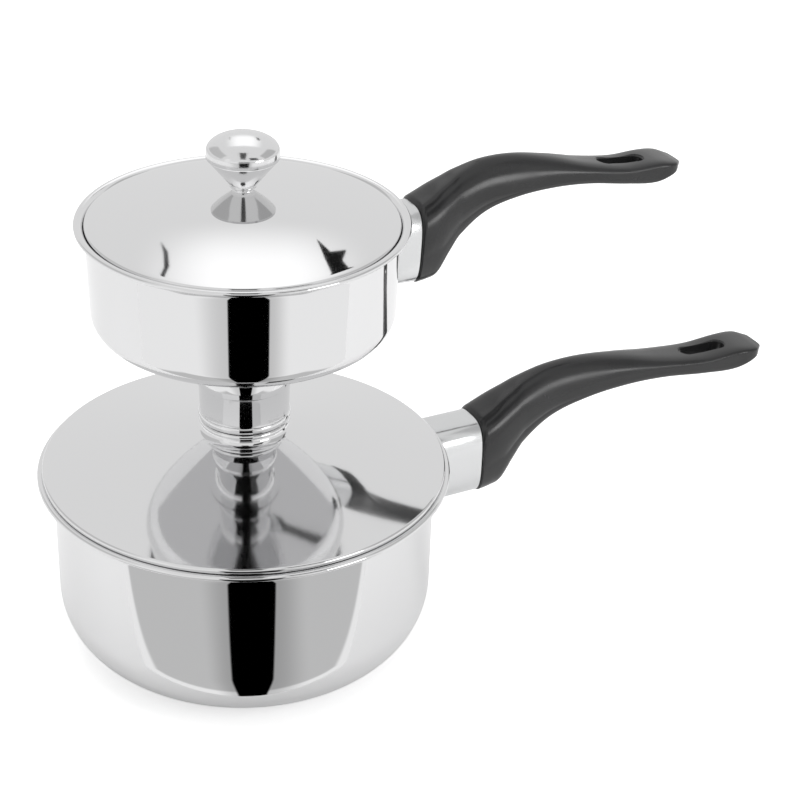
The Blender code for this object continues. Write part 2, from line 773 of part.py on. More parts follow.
def build_stud(bench, grip, mount, wall):
    """The stud welded to the wall inside the ferrule, tapped for the handle's screw."""
    name = grip.side + "_handle_stud"
    end = grip.stud_end
    bore_end = end - grip.engagement - SEAT_GAP
    bore_radius = HANDLE_SCREW_RADIUS + BORE_GAP
    flange_z = STUD_FLANGE_THICKNESS - grip.ferrule_length
    foot_z = -grip.ferrule_length - OVERRUN
    points = [
        (0.0, bore_end), (bore_radius, bore_end), (bore_radius, end), (STUD_RADIUS, end),
        (STUD_RADIUS, flange_z), (STUD_FLANGE_RADIUS, flange_z), (STUD_FLANGE_RADIUS, foot_z), (0.0, foot_z),
    ]
    stud = bench.add_part(name, profile_mesh(name, points), PLAIN_STEEL)
    spin(stud, SMALL_FACETS)
    lay_along(stud, mount)
    cut(stud, wall)
    return stud


def lay_along(obj, mount):
    """Points a turned piece's Z along the handle, on the screw's axis."""
    obj.parent = mount
    obj.location = (0.0, 0.0, -HANDLE_SCREW_DROP)
    obj.rotation_euler = (0.0, math.pi / 2, 0.0)


def build_fasteners(bench, grip, mount):
    """The washer and screw that hold the handle on its stud."""
    washer_z = grip.screw_seat + SEAT_GAP
    hole_radius = HANDLE_SCREW_RADIUS + BORE_GAP
    name = grip.side + "_handle_washer"
    washer = build_washer(
        bench, name, washer_z, HANDLE_WASHER_RADIUS, hole_radius, HANDLE_WASHER_THICKNESS
    )
    lay_along(washer, mount)

    name = grip.side + "_handle_screw"
    under_head = washer_z + HANDLE_WASHER_THICKNESS + SEAT_GAP
    head_top = under_head + HANDLE_SCREW_HEAD_HEIGHT
    tip = grip.stud_end - grip.engagement
    points = screw_points(tip, under_head, head_top, HANDLE_SCREW_RADIUS, HANDLE_SCREW_HEAD_RADIUS)
    screw = bench.add_part(name, profile_mesh(name, points), PLAIN_STEEL)
    spin(screw, SMALL_FACETS)
    lay_along(screw, mount)


def build_grip(bench, grip):
    """All that makes up one handle, hung on an empty at the joint of ferrule and handle."""
    place = (grip.joint_radius, 0.0, grip.vessel.base_z + grip.joint_height)
    mount = bench.add_empty(grip.side + "_handle_mount", place, (0.0, -math.radians(grip.tilt_deg), 0.0))
    wall = build_wall_cutter(bench, grip.side + "_wall", grip.vessel)
    build_stud(bench, grip, mount, wall)
    build_ferrule(bench, grip, mount, wall)
    build_handle(bench, grip, mount)
    build_fasteners(bench, grip, mount)


def main():
    clear_scene()
    bench = Bench()

    pot = Vessel(
        POT_SHEET, POT_BODY_RADIUS, POT_DRAFT_DEG, POT_CORNER_RADIUS, POT_HEIGHT,
        POT_LIP_WIDTH, POT_LIP_HEIGHT, POT_CURL_RADIUS, floor_hole=0.0, base_z=0.0,
    )
    build_vessel(bench, "lower_pot", pot)
    build_grip(bench, Grip(
        "lower", pot, POT_HANDLE_LENGTH, 1.0, POT_FERRULE_LENGTH, POT_FERRULE_CLEARANCE,
        0.0, POT_SCREW_ENGAGEMENT,
    ))

    funnel = funnel_on(pot)
    build_funnel(bench, funnel)

    collar_z = funnel.bead_top_z + SEAT_GAP
    build_collar(bench, collar_z)
    pan = Vessel(
        PAN_SHEET, PAN_BODY_RADIUS, PAN_DRAFT_DEG, PAN_CORNER_RADIUS, PAN_HEIGHT,
        PAN_LIP_WIDTH, PAN_LIP_HEIGHT, PAN_CURL_RADIUS,
        floor_hole=STEAM_HOLE_RADIUS, base_z=collar_z + COLLAR_HEIGHT + SEAT_GAP,
    )
    build_vessel(bench, "upper_pan", pan)
    build_grip(bench, Grip(
        "upper", pan, PAN_HANDLE_LENGTH, PAN_SECTION_SCALE, PAN_FERRULE_LENGTH, PAN_FERRULE_CLEARANCE,
        PAN_HANDLE_TILT_DEG, PAN_SCREW_ENGAGEMENT,
    ))
    build_plate(bench, pan)

    dome = dome_on(pan)
    build_lid(bench, dome)
    build_knob(bench, dome)


main()
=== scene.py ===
"""Couscous steamer of mirror-polished steel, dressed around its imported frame.

Every visible piece of the frame is replaced by a finely turned, drawn or moulded one that stands in
the same place, and gets a procedural finish. The studio holds a pale floor, soft lamps, and reflecting
panels that only polished metal sees.
"""

import logging
import math
from dataclasses import dataclass, replace
from enum import Enum
from functools import cached_property

import bmesh
import bpy
from mathutils import Matrix, Vector


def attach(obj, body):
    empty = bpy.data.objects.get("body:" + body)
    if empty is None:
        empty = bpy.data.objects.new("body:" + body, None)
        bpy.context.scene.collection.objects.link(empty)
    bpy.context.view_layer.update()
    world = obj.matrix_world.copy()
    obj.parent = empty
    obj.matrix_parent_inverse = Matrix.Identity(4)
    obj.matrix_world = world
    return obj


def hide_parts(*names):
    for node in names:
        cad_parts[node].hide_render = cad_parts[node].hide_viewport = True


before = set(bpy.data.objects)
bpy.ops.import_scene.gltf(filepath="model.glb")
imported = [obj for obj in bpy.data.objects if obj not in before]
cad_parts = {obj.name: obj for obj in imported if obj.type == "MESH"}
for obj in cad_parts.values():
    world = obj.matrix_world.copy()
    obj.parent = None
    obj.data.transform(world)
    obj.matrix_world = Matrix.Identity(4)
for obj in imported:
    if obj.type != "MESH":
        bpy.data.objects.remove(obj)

LOG = logging.getLogger("couscous_steamer")

Profile = list[tuple[float, float]]
Place = tuple[float, float, float]
Colour = tuple[float, float, float]
BMesh = bmesh.types.BMesh
BMVert = bmesh.types.BMVert
Object = bpy.types.Object
Material = bpy.types.Material
NodeTree = bpy.types.NodeTree
Node = bpy.types.ShaderNode
Socket = bpy.types.NodeSocket

# Facets round an axis
LARGE_FACETS = 160
SMALL_FACETS = 96
BORE_FACETS = 48
HOLE_FACETS = 24

# Clearances that the frame is built with
SEAT_GAP = 0.0003
RUNNING_GAP = 0.0004
BORE_GAP = 0.0003

MERGE_DISTANCE = 1e-7
SHARP_ANGLE = math.radians(32.0)
BEVEL_ANGLE = math.radians(40.0)
BEVEL_SEGMENTS = 3

WHITE = (1.0, 1.0, 1.0, 1.0)
# Brightness of the studio's sky as polished steel sees it
SKY_LEVEL = 0.84


class Slot(Enum):
    """Names of the material slots."""

    MIRROR = "mirror_steel"
    SATIN = "satin_steel"
    PLAIN = "plain_steel"
    PHENOLIC = "black_phenolic"


class Body(Enum):
    """The bodies that pieces ride on."""

    POT = "pot"
    FUNNEL = "funnel"
    PAN = "pan"
    SIEVE = "sieve"
    COVER = "cover"


class Lookout(Enum):
    """Which end of a skin tells its outer side: the lowest face looks down, or the highest looks up."""

    LOWEST_DOWN = -1
    HIGHEST_UP = 1


# Node groups and finishes


class NodeSketch:
    """Adds nodes to a tree and links them in a few words."""

    def __init__(self, tree: NodeTree) -> None:
        """Starts on a tree.

        Args:
            tree: The node tree that the nodes go into.
        """
        self.tree = tree

    def add(self, kind: str, **settings: object) -> Node:
        """Adds a node and gives its properties their values.

        Args:
            kind: The node's type name without its ShaderNode beginning.
            settings: Properties of the node.

        Returns:
            The new node.
        """
        node = self.tree.nodes.new("ShaderNode" + kind)
        for name, value in settings.items():
            setattr(node, name, value)
        return node

    def feed(self, socket: Socket, source: object) -> None:
        """Links an output to a socket, or sets the socket's own value.

        Args:
            socket: The input socket.
            source: An output socket, or a plain value.
        """
        if isinstance(source, Socket):
            self.tree.links.new(source, socket)
        else:
            socket.default_value = source

    def place(self) -> Socket:
        """The point on the piece, in object coordinates."""
        return self.add("TexCoord").outputs["Object"]

    def math(self, operation: str, *values: object) -> Socket:
        """Adds a Math node.

        Args:
            operation: The node's operation.
            values: One source for each of its inputs.

        Returns:
            The node's output.
        """
        node = self.add("Math", operation=operation)
        for socket, value in zip(node.inputs, values):
            self.feed(socket, value)
        return node.outputs[0]

    def times(self, first: object, *others: object) -> Socket:
        """Multiplies numbers, in their order.

        Args:
            first: The first factor.
            others: The other factors.

        Returns:
            The product.
        """
        for other in others:
            first = self.math("MULTIPLY", first, other)
        return first

    def noise(self, vector: object, scale: object, detail: float, roughness: float = 0.5) -> Socket:
        """Adds a Noise Texture.

        Args:
            vector: Where the noise is read.
            scale: Its scale, a number or a socket.
            detail: Its octaves.
            roughness: How much the finer octaves weigh.

        Returns:
            The factor output.
        """
        node = self.add("TexNoise")
        self.feed(node.inputs["Vector"], vector)
        self.feed(node.inputs["Scale"], scale)
        self.feed(node.inputs["Detail"], detail)
        self.feed(node.inputs["Roughness"], roughness)
        return node.outputs["Fac"]

    def ranged(self, value: Socket, low: object, high: object, to_low: object, to_high: object) -> Socket:
        """Adds a smooth Map Range node.

        Args:
            value: The value to map.
            low: Its low end.
            high: Its high end.
            to_low: What the low end becomes.
            to_high: What the high end becomes.

        Returns:
            The result.
        """
        node = self.add("MapRange", interpolation_type="SMOOTHSTEP")
        for socket, source in zip(node.inputs, (value, low, high, to_low, to_high)):
            self.feed(socket, source)
        return node.outputs[0]

    def dot(self, vector: Socket, along: Vector) -> Socket:
        """Measures a vector along a direction.

        Args:
            vector: The vector.
            along: The direction.

        Returns:
            The length.
        """
        node = self.add("VectorMath", operation="DOT_PRODUCT")
        self.feed(node.inputs[0], vector)
        node.inputs[1].default_value = along
        return node.outputs["Value"]

    def mixed(self, share: Socket, first: object, second: object) -> Socket:
        """Mixes two numbers.

        Args:
            share: The second's share, from 0 to 1.
            first: The number at a share of 0.
            second: The number at a share of 1.

        Returns:
            The mix.
        """
        node = self.add("Mix", data_type="FLOAT")
        for name, source in (("Factor", share), ("A", first), ("B", second)):
            self.feed(node.inputs[name], source)
        return node.outputs[0]

    def bumped(self, shader: Node, height: Socket, distance: float = 1.0) -> None:
        """Gives a shader a bumped normal.

        Args:
            shader: The shader's node.
            height: The height, in metres where the distance is 1.
            distance: What the height is multiplied by.
        """
        bump = self.add("Bump")
        self.feed(bump.inputs["Height"], height)
        self.feed(bump.inputs["Distance"], distance)
        self.feed(shader.inputs["Normal"], bump.outputs[0])


def new_group(
    name: str, inputs: dict[str, float], outputs: tuple[str, ...]
) -> tuple[NodeTree, NodeSketch, bpy.types.NodeOutputs, bpy.types.NodeInputs]:
    """Makes a shader node group with number sockets.

    Args:
        name: The group's name.
        inputs: Its inputs and their usual values.
        outputs: Its outputs.

    Returns:
        The group, a sketch of it, what comes into it, and what goes out of it.
    """
    group = bpy.data.node_groups.new(name, "ShaderNodeTree")
    for title, value in inputs.items():
        socket = group.interface.new_socket(name=title, in_out="INPUT", socket_type="NodeSocketFloat")
        socket.default_value = value
    for title in outputs:
        group.interface.new_socket(name=title, in_out="OUTPUT", socket_type="NodeSocketFloat")
    source = group.nodes.new("NodeGroupInput").outputs
    result = group.nodes.new("NodeGroupOutput").inputs
    return group, NodeSketch(group), source, result


@dataclass(frozen=True)
class Effects:
    """The node groups that the finishes share, and the sizes of their patterns."""

    swell_detail: float = 1.5
    swell_roughness: float = 0.4
    line_detail: float = 3.0
    line_roughness: float = 0.6
    hair_detail: float = 4.0
    hair_roughness: float = 0.7
    hair_turns: tuple[float, float] = (0.6, -0.9)
    hair_squeezes: tuple[Place, ...] = ((9.0, 0.7, 2.0), (0.8, 8.0, 3.0))
    hair_edges: tuple[float, float] = (0.62, 0.78)
    haze_scale: float = 14.0
    haze_detail: float = 3.0
    haze_edges: tuple[float, float] = (0.45, 0.75)
    grain_detail: float = 2.0
    cloud_detail: float = 4.0
    cloud_roughness: float = 0.6

    @cached_property
    def waves(self) -> NodeTree:
        """The slow swell of drawn and polished sheet, as a height in metres.

        Returns:
            The group.
        """
        group, sketch, source, result = new_group(
            "Sheet waves", {"Scale": 30.0, "Depth": 0.00002}, ("Height",)
        )
        swell = sketch.noise(sketch.place(), source["Scale"], self.swell_detail, self.swell_roughness)
        sketch.feed(result["Height"], sketch.times(swell, source["Depth"]))
        return group

    @cached_property
    def buffing(self) -> NodeTree:
        """Faint rings that a polishing wheel leaves round a turned piece's axis.

        Returns:
            The group.
        """
        group, sketch, source, result = new_group(
            "Buffing lines", {"Density": 2500.0, "Stretch": 0.02}, ("Lines",)
        )
        place = sketch.add("SeparateXYZ")
        sketch.feed(place.inputs[0], sketch.place())
        across, along, up = place.outputs
        square = sketch.math("ADD", sketch.times(across, across), sketch.times(along, along))
        rings = sketch.add("CombineXYZ")
        sketch.feed(rings.inputs[0], sketch.math("ADD", sketch.math("SQRT", square), up))
        sketch.feed(rings.inputs[1], sketch.times(across, source["Stretch"]))
        sketch.feed(rings.inputs[2], sketch.times(along, source["Stretch"]))
        lines = sketch.noise(rings.outputs[0], source["Density"], self.line_detail, self.line_roughness)
        sketch.feed(result["Lines"], lines)
        return group

    @cached_property
    def scratches(self) -> NodeTree:
        """Hairline scratches and wiping haze, from 0 to 1.

        Returns:
            The group.
        """
        group, sketch, source, result = new_group(
            "Fine scratches", {"Scale": 60.0, "Share": 0.35}, ("Mask",)
        )
        place = sketch.place()
        hairs = []
        for turn, squeeze in zip(self.hair_turns, self.hair_squeezes):
            mapping = sketch.add("Mapping", vector_type="POINT")
            sketch.feed(mapping.inputs["Vector"], place)
            mapping.inputs["Rotation"].default_value = (turn, turn / 2, turn)
            mapping.inputs["Scale"].default_value = squeeze
            hair = sketch.noise(mapping.outputs[0], source["Scale"], self.hair_detail, self.hair_roughness)
            hairs.append(sketch.ranged(hair, *self.hair_edges, 0.0, 1.0))
        cloud = sketch.noise(place, self.haze_scale, self.haze_detail)
        haze = sketch.ranged(cloud, *self.haze_edges, 0.0, source["Share"])
        mean = sketch.times(sketch.math("ADD", *hairs), 1 / len(hairs))
        sketch.feed(result["Mask"], sketch.math("MAXIMUM", mean, haze))
        return group

    @cached_property
    def grain(self) -> NodeTree:
        """The orange-peel skin and cloudy gloss of moulded phenolic.

        Returns:
            The group.
        """
        group, sketch, source, result = new_group(
            "Moulded grain", {"Scale": 900.0, "Cloud scale": 35.0}, ("Height", "Clouds")
        )
        place = sketch.place()
        sketch.feed(result["Height"], sketch.noise(place, source["Scale"], self.grain_detail))
        clouds = sketch.noise(place, source["Cloud scale"], self.cloud_detail, self.cloud_roughness)
        sketch.feed(result["Clouds"], clouds)
        return group


def placed(sketch: NodeSketch, group: NodeTree, **values: float) -> bpy.types.NodeOutputs:
    """Adds a node group to a material.

    Args:
        sketch: The material's sketch.
        group: The group.
        values: Its inputs, by name.

    Returns:
        The group's outputs.
    """
    node = sketch.add("Group", node_tree=group)
    for name, value in values.items():
        node.inputs[name].default_value = value
    return node.outputs


def new_material(name: str) -> tuple[Material, NodeSketch, Node]:
    """Makes a material that holds one Principled BSDF.

    Args:
        name: The material's name.

    Returns:
        The material, a sketch of its tree, and its shader node.
    """
    material = bpy.data.materials.new(name)
    material.use_nodes = True
    return material, NodeSketch(material.node_tree), material.node_tree.nodes["Principled BSDF"]


@dataclass(frozen=True)
class PolishedSteel:
    """Stainless steel, polished or only ground, with the marks of its making."""

    name: str
    slot: Slot
    colour: Colour
    roughness: float
    haze: float
    wave_scale: float
    wave_depth: float
    line_density: float
    line_depth: float
    line_haze: float = 0.5

    def material(self, effects: Effects) -> Material:
        """Makes the material.

        Args:
            effects: The shared node groups.

        Returns:
            The material.
        """
        material, sketch, shader = new_material(self.name)
        shader.inputs["Base Color"].default_value = (*self.colour, 1.0)
        shader.inputs["Metallic"].default_value = 1.0
        lines = placed(sketch, effects.buffing, Density=self.line_density)["Lines"]
        marks = placed(sketch, effects.scratches)["Mask"]
        wave = placed(sketch, effects.waves, Scale=self.wave_scale, Depth=self.wave_depth)["Height"]
        worn = sketch.times(marks, self.haze)
        lined = sketch.math("MULTIPLY_ADD", lines, self.haze * self.line_haze, worn)
        sketch.feed(shader.inputs["Roughness"], sketch.math("ADD", lined, self.roughness))
        sketch.bumped(shader, sketch.math("MULTIPLY_ADD", lines, self.line_depth, wave))
        return material


@dataclass(frozen=True)
class MouldedPhenolic:
    """Black thermoset moulding with a semi-gloss skin."""

    name: str
    slot: Slot
    dark: Colour
    pale: Colour
    gloss: float
    matt: float
    grain_depth: float
    cloud_edges: tuple[float, float] = (0.3, 0.7)
    mark_scale: float = 90.0
    mark_share: float = 0.2
    mark_haze: float = 0.1

    def material(self, effects: Effects) -> Material:
        """Makes the material.

        Args:
            effects: The shared node groups.

        Returns:
            The material.
        """
        material, sketch, shader = new_material(self.name)
        grain = placed(sketch, effects.grain)
        marks = placed(sketch, effects.scratches, Scale=self.mark_scale, Share=self.mark_share)["Mask"]
        tint = sketch.add("Mix", data_type="RGBA")
        sketch.feed(tint.inputs[0], grain["Clouds"])
        tint.inputs[6].default_value = (*self.dark, 1.0)
        tint.inputs[7].default_value = (*self.pale, 1.0)
        sketch.feed(shader.inputs["Base Color"], tint.outputs[2])
        cloudy = sketch.ranged(grain["Clouds"], *self.cloud_edges, self.gloss, self.matt)
        sketch.feed(shader.inputs["Roughness"], sketch.math("MULTIPLY_ADD", marks, self.mark_haze, cloudy))
        sketch.bumped(shader, grain["Height"], self.grain_depth)
        return material


MIRROR_STEEL = PolishedSteel(
    "Mirror steel", Slot.MIRROR, colour=(0.78, 0.78, 0.785), roughness=0.025, haze=0.05, wave_scale=26.0,
    wave_depth=0.00004, line_density=2600.0, line_depth=2e-8,
)
CONE_STEEL = replace(MIRROR_STEEL, name="Cone steel", roughness=0.052, haze=0.06, line_depth=1e-7)
KNOB_STEEL = replace(
    CONE_STEEL, name="Knob steel", roughness=0.11, wave_scale=60.0, wave_depth=0.00001, line_density=5200.0
)
# The skirt's steel is the knob's steel painted darker: painted shade for the darker reflections round the
# skirt.
SHADED_SKIRT_STEEL = replace(KNOB_STEEL, name="Skirt steel with painted shade", colour=(0.56, 0.56, 0.565), roughness=0.10)
SATIN_STEEL = PolishedSteel(
    "Satin steel", Slot.SATIN, colour=(0.72, 0.725, 0.73), roughness=0.17, haze=0.10, wave_scale=40.0,
    wave_depth=0.00002, line_density=5200.0, line_depth=4e-7,
)
PLAIN_STEEL = PolishedSteel(
    "Plain steel", Slot.PLAIN, colour=(0.60, 0.60, 0.61), roughness=0.30, haze=0.20, wave_scale=80.0,
    wave_depth=0.00002, line_density=4000.0, line_depth=4e-7,
)
BLACK_PHENOLIC = MouldedPhenolic(
    "Black phenolic", Slot.PHENOLIC, dark=(0.010, 0.010, 0.010), pale=(0.020, 0.020, 0.021), gloss=0.16,
    matt=0.26, grain_depth=0.00001,
)

Finish = PolishedSteel | MouldedPhenolic


class Workshop:
    """Makes pieces out of bmeshes, dresses them and hangs them on the frame's bodies."""

    def __init__(self) -> None:
        """Opens the workshop, with no finish mixed yet."""
        self.effects = Effects()
        self.mixed: dict[Finish, Material] = {}

    def material(self, finish: Finish) -> Material:
        """Mixes a finish when it is first asked for.

        Args:
            finish: The finish.

        Returns:
            Its material.
        """
        if finish not in self.mixed:
            self.mixed[finish] = finish.material(self.effects)
        return self.mixed[finish]

    def add(
        self, name: str, shape: BMesh, finish: Finish, body: Body, node: str, sheet: float = 0.0,
        bevel: float = 0.0, cutters: tuple[BMesh, ...] = (),
    ) -> Object:
        """Adds a piece that stands for a node of the frame.

        Args:
            name: The piece's name.
            shape: Its mesh, freed here.
            finish: Its finish.
            body: The body that it rides on.
            node: The node that it replaces.
            sheet: Thickness of its wall, built inwards from the skin, or 0 for a solid.
            bevel: Width of the rounding on its sharp edges, or 0.
            cutters: Shapes that are cut from it, freed here.

        Returns:
            The piece.
        """
        obj = self.bare(name, shape)
        if sheet:
            wall = obj.modifiers.new("Sheet", "SOLIDIFY")
            wall.thickness = sheet
            wall.offset = -1.0
            wall.use_even_offset = True
        helpers = [self.bare(f"{name}_cutter", cutter) for cutter in cutters]
        for helper in helpers:
            cut = obj.modifiers.new(helper.name, "BOOLEAN")
            cut.operation = "DIFFERENCE"
            cut.solver = "MANIFOLD"
            cut.object = helper
        if bevel:
            edge = obj.modifiers.new("Edges", "BEVEL")
            edge.width = bevel
            edge.segments = BEVEL_SEGMENTS
            edge.limit_method = "ANGLE"
            edge.angle_limit = BEVEL_ANGLE
        self.settle(obj)
        for helper in helpers:
            bpy.data.objects.remove(helper, do_unlink=True)
        obj.data.materials.clear()
        obj.data.materials.append(self.material(finish))
        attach(obj, body.value)
        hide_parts(node)
        LOG.info("%s rides on %s, %d faces", name, body.value, len(obj.data.polygons))
        return obj

    @staticmethod
    def bare(name: str, shape: BMesh) -> Object:
        """Turns a bmesh into an object at the origin.

        Args:
            name: The object's name.
            shape: Its mesh, freed here.

        Returns:
            The object.
        """
        mesh = bpy.data.meshes.new(name)
        shape.to_mesh(mesh)
        shape.free()
        obj = bpy.data.objects.new(name, mesh)
        bpy.context.scene.collection.objects.link(obj)
        return obj

    @staticmethod
    def settle(obj: Object) -> None:
        """Applies an object's modifiers and gives its mesh smooth faces with crisp edges.

        Args:
            obj: The object.
        """
        depsgraph = bpy.context.evaluated_depsgraph_get()
        mesh = bpy.data.meshes.new_from_object(obj.evaluated_get(depsgraph))
        obj.modifiers.clear()
        old = obj.data
        obj.data = mesh
        bpy.data.meshes.remove(old)
        mesh.shade_smooth()
        mesh.set_sharp_from_angle(angle=SHARP_ANGLE)

    def repaint(self, node: str, finish: Finish) -> None:
        """Gives a node of the frame that stays in sight the full finish.

        Args:
            node: The node.
            finish: Its finish.
        """
        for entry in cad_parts[node].material_slots:
            entry.material = self.material(finish)


# Profiles and turning


def arc(
    centre: tuple[float, float], radii: float | tuple[float, float], start: float, end: float, steps: int,
    squareness: float = 2.0,
) -> Profile:
    """Points of a round, elliptical or squarer arc in the (radius, height) plane.

    Args:
        centre: Its middle.
        radii: Its radius, or its half axes, level and upright.
        start: First angle, in degrees from the outward direction.
        end: Last angle.
        steps: Number of stretches.
        squareness: Power of the curve, 2 for an ellipse.

    Returns:
        The points, both ends included.
    """
    level, upright = radii if isinstance(radii, tuple) else (radii, radii)
    points = []
    for step in range(steps + 1):
        turn = math.radians(start + (end - start) * step / steps)
        out, up = (
            math.copysign(abs(part) ** (2 / squareness), part) for part in (math.cos(turn), math.sin(turn))
        )
        points.append((centre[0] + level * out, centre[1] + upright * up))
    return points


def turned(points: Profile, facets: int, lookout: Lookout, closed: bool = False) -> BMesh:
    """Turns a profile round the Z axis.

    Args:
        points: The profile as radius and height.
        facets: How many facets it gets round the axis.
        lookout: Which face tells the outer side.
        closed: Whether the last point joins the first.

    Returns:
        The skin, with its faces looking out.
    """
    shape = bmesh.new()
    verts = [shape.verts.new((radius, 0.0, height)) for radius, height in points]
    pairs = list(zip(verts, verts[1:] + verts[:1] if closed else verts[1:]))
    edges = [shape.edges.new(pair) for pair in pairs]
    bmesh.ops.spin(
        shape, geom=verts + edges, cent=(0.0, 0.0, 0.0), axis=(0.0, 0.0, 1.0), angle=math.tau,
        steps=facets, use_merge=True,
    )
    bmesh.ops.remove_doubles(shape, verts=shape.verts, dist=MERGE_DISTANCE)
    settle(shape)
    face_outwards(shape, lookout)
    return shape


def settle(shape: BMesh) -> None:
    """Puts vertices, edges and faces in the same order each run, which a spin doesn't do.

    Args:
        shape: The shape.
    """
    for index, vert in enumerate(sorted(shape.verts, key=lambda vert: vert.co[:])):
        vert.index = index
    shape.verts.sort()
    for parts in (shape.edges, shape.faces):
        ordered = sorted(parts, key=lambda part: sorted(vert.index for vert in part.verts))
        for index, part in enumerate(ordered):
            part.index = index
        parts.sort()


def face_outwards(shape: BMesh, lookout: Lookout) -> None:
    """Turns the faces of a skin to its outer side.

    Args:
        shape: The skin.
        lookout: Which face tells the outer side.
    """
    bmesh.ops.recalc_face_normals(shape, faces=shape.faces)
    shape.normal_update()
    end = max(shape.faces, key=lambda face: lookout.value * face.calc_center_median().z)
    if end.normal.z * lookout.value < 0:
        bmesh.ops.reverse_faces(shape, faces=shape.faces)


def moved(shape: BMesh, matrix: Matrix) -> BMesh:
    """Moves a shape.

    Args:
        shape: The shape.
        matrix: The movement.

    Returns:
        The shape itself.
    """
    bmesh.ops.transform(shape, matrix=matrix, verts=shape.verts)
    return shape


def washer_shape(bottom: float, outer: float, hole: float, thickness: float) -> BMesh:
    """A flat ring.

    Args:
        bottom: Height of its lower side.
        outer: Its outer radius.
        hole: Its hole's radius.
        thickness: Its thickness.

    Returns:
        The closed mesh.
    """
    top = bottom + thickness
    points = [(outer, top), (outer, bottom), (hole, bottom), (hole, top)]
    return turned(points, SMALL_FACETS, Lookout.HIGHEST_UP, closed=True)


@dataclass(frozen=True)
class ScrewForm:
    """A pan-head screw on the Z axis, its head on top."""

    tip: float
    under_head: float
    shaft_radius: float
    head_radius: float
    head_height: float
    rounding: float = 0.55
    recess_depth: float = 0.0013
    recess_width: float = 0.0009
    recess_reach: float = 0.62

    @property
    def top(self) -> float:
        """Height of the head's crown."""
        return self.under_head + self.head_height

    def shape(self) -> BMesh:
        """Makes the shaft, with its point cut back, and the rounded head.

        Returns:
            The closed mesh.
        """
        shoulder = self.head_height * self.rounding
        shaft, chamfer = self.shaft_radius, self.shaft_radius / 2
        points = [(0.0, self.top)]
        points += arc((self.head_radius - shoulder, self.top - shoulder), shoulder, 90, 0, 8)
        points += [
            (self.head_radius, self.under_head), (shaft, self.under_head), (shaft, self.tip + chamfer),
            (chamfer, self.tip), (0.0, self.tip),
        ]
        return turned(points, SMALL_FACETS, Lookout.HIGHEST_UP)

    def recess(self) -> BMesh:
        """Makes the cross that is cut into the head.

        Returns:
            The closed mesh.
        """
        shape = bmesh.new()
        length = 2 * self.head_radius * self.recess_reach
        height = self.top + self.recess_depth / 2
        for level, deep in ((length, self.recess_width), (self.recess_width, length)):
            size = Matrix.Diagonal((level, deep, 3 * self.recess_depth, 1.0))
            bmesh.ops.create_cube(shape, size=1.0, matrix=Matrix.Translation((0.0, 0.0, height)) @ size)
        return shape


# Drawn vessels


@dataclass(frozen=True)
class Vessel:
    """Outer sizes of a drawn pan with a flared, curled lip."""

    sheet: float
    body_radius: float
    draft_deg: float
    corner_radius: float
    height: float
    lip_width: float
    lip_height: float
    curl_radius: float
    floor_hole: float
    base_z: float
    curl_turn: float = 240.0
    flare_turns: tuple[int, ...] = tuple(range(86, -1, -4))
    bisections: int = 40

    @property
    def rim_radius(self) -> float:
        """Outer radius of the curl."""
        return self.body_radius + self.lip_width

    @property
    def rim_z(self) -> float:
        """Height of the curl's top."""
        return self.base_z + self.height

    @property
    def flare_width(self) -> float:
        """Width of the flare between the wall and the middle of the curl."""
        return self.lip_width - self.curl_radius

    @property
    def flare_rise(self) -> float:
        """Rise of the lip's underside between the wall and the curl."""
        return self.lip_height - self.sheet

    def wall_radius(self, height: float) -> float:
        """Measures the straight wall from outside.

        Args:
            height: A height over the base.

        Returns:
            The wall's outer radius there.
        """
        drop = self.height - self.lip_height - height
        return self.body_radius - drop * math.tan(math.radians(self.draft_deg))

    def side_radius(self, height: float) -> float:
        """Measures the side, also where the corner curves in.

        Args:
            height: A height over the base.

        Returns:
            The outer radius there.
        """
        if height >= self.corner_radius:
            return self.wall_radius(height)
        return self.flat_radius + math.sqrt(self.corner_radius ** 2 - (self.corner_radius - height) ** 2)

    @property
    def flat_radius(self) -> float:
        """Radius of the flat base, inside the round corner."""
        return self.wall_radius(self.corner_radius) - self.corner_radius

    def flare_point(self, turn: float, offset: float) -> tuple[float, float]:
        """A point of the lip's underside, moved through the sheet.

        Args:
            turn: Its place on the flare, from 0 at the wall to a right angle at the curl, in radians.
            offset: How far it is moved towards the upper side.

        Returns:
            Its radius and height.
        """
        slope_r = self.flare_width * math.sin(turn)
        slope_z = self.flare_rise * math.cos(turn)
        size = math.hypot(slope_r, slope_z)
        radius = self.body_radius + self.flare_width * (1 - math.cos(turn)) - offset * slope_z / size
        height = self.flare_rise * math.sin(turn) + offset * slope_r / size
        return radius, self.rim_z - self.lip_height + height

    def hem_rest(self, radius: float, hem_radius: float) -> float:
        """Height of the middle of a round hem that rests on the flare.

        Args:
            radius: Distance of the hem's middle from the axis.
            hem_radius: Radius of the hem itself.

        Returns:
            The height.
        """
        offset = self.sheet + SEAT_GAP + hem_radius
        low, high = 0.0, math.pi / 2
        for _ in range(self.bisections):
            middle = (low + high) / 2
            if self.flare_point(middle, offset)[0] < radius:
                low = middle
            else:
                high = middle
        return self.flare_point(low, offset)[1]

    def shape(self) -> BMesh:
        """Makes the outer skin: curl, flare, drafted wall, round corner and flat base.

        Returns:
            The skin.
        """
        centre = (self.rim_radius - self.curl_radius, self.rim_z - self.curl_radius)
        points = arc(centre, self.curl_radius - self.sheet, 90 - self.curl_turn, 90, 24)
        points += [self.flare_point(math.radians(turn), 0.0) for turn in self.flare_turns]
        corner = self.corner_radius
        points += arc((self.flat_radius, self.base_z + corner), corner, 0, -90, 24)
        points.append((self.floor_hole, self.base_z))
        return turned(points, LARGE_FACETS, Lookout.LOWEST_DOWN)


POT = Vessel(
    sheet=0.0008, body_radius=0.0914, draft_deg=0.3, corner_radius=0.0323, height=0.0942, lip_width=0.0076,
    lip_height=0.0090, curl_radius=0.0014, floor_hole=0.0, base_z=0.0,
)


# Handles

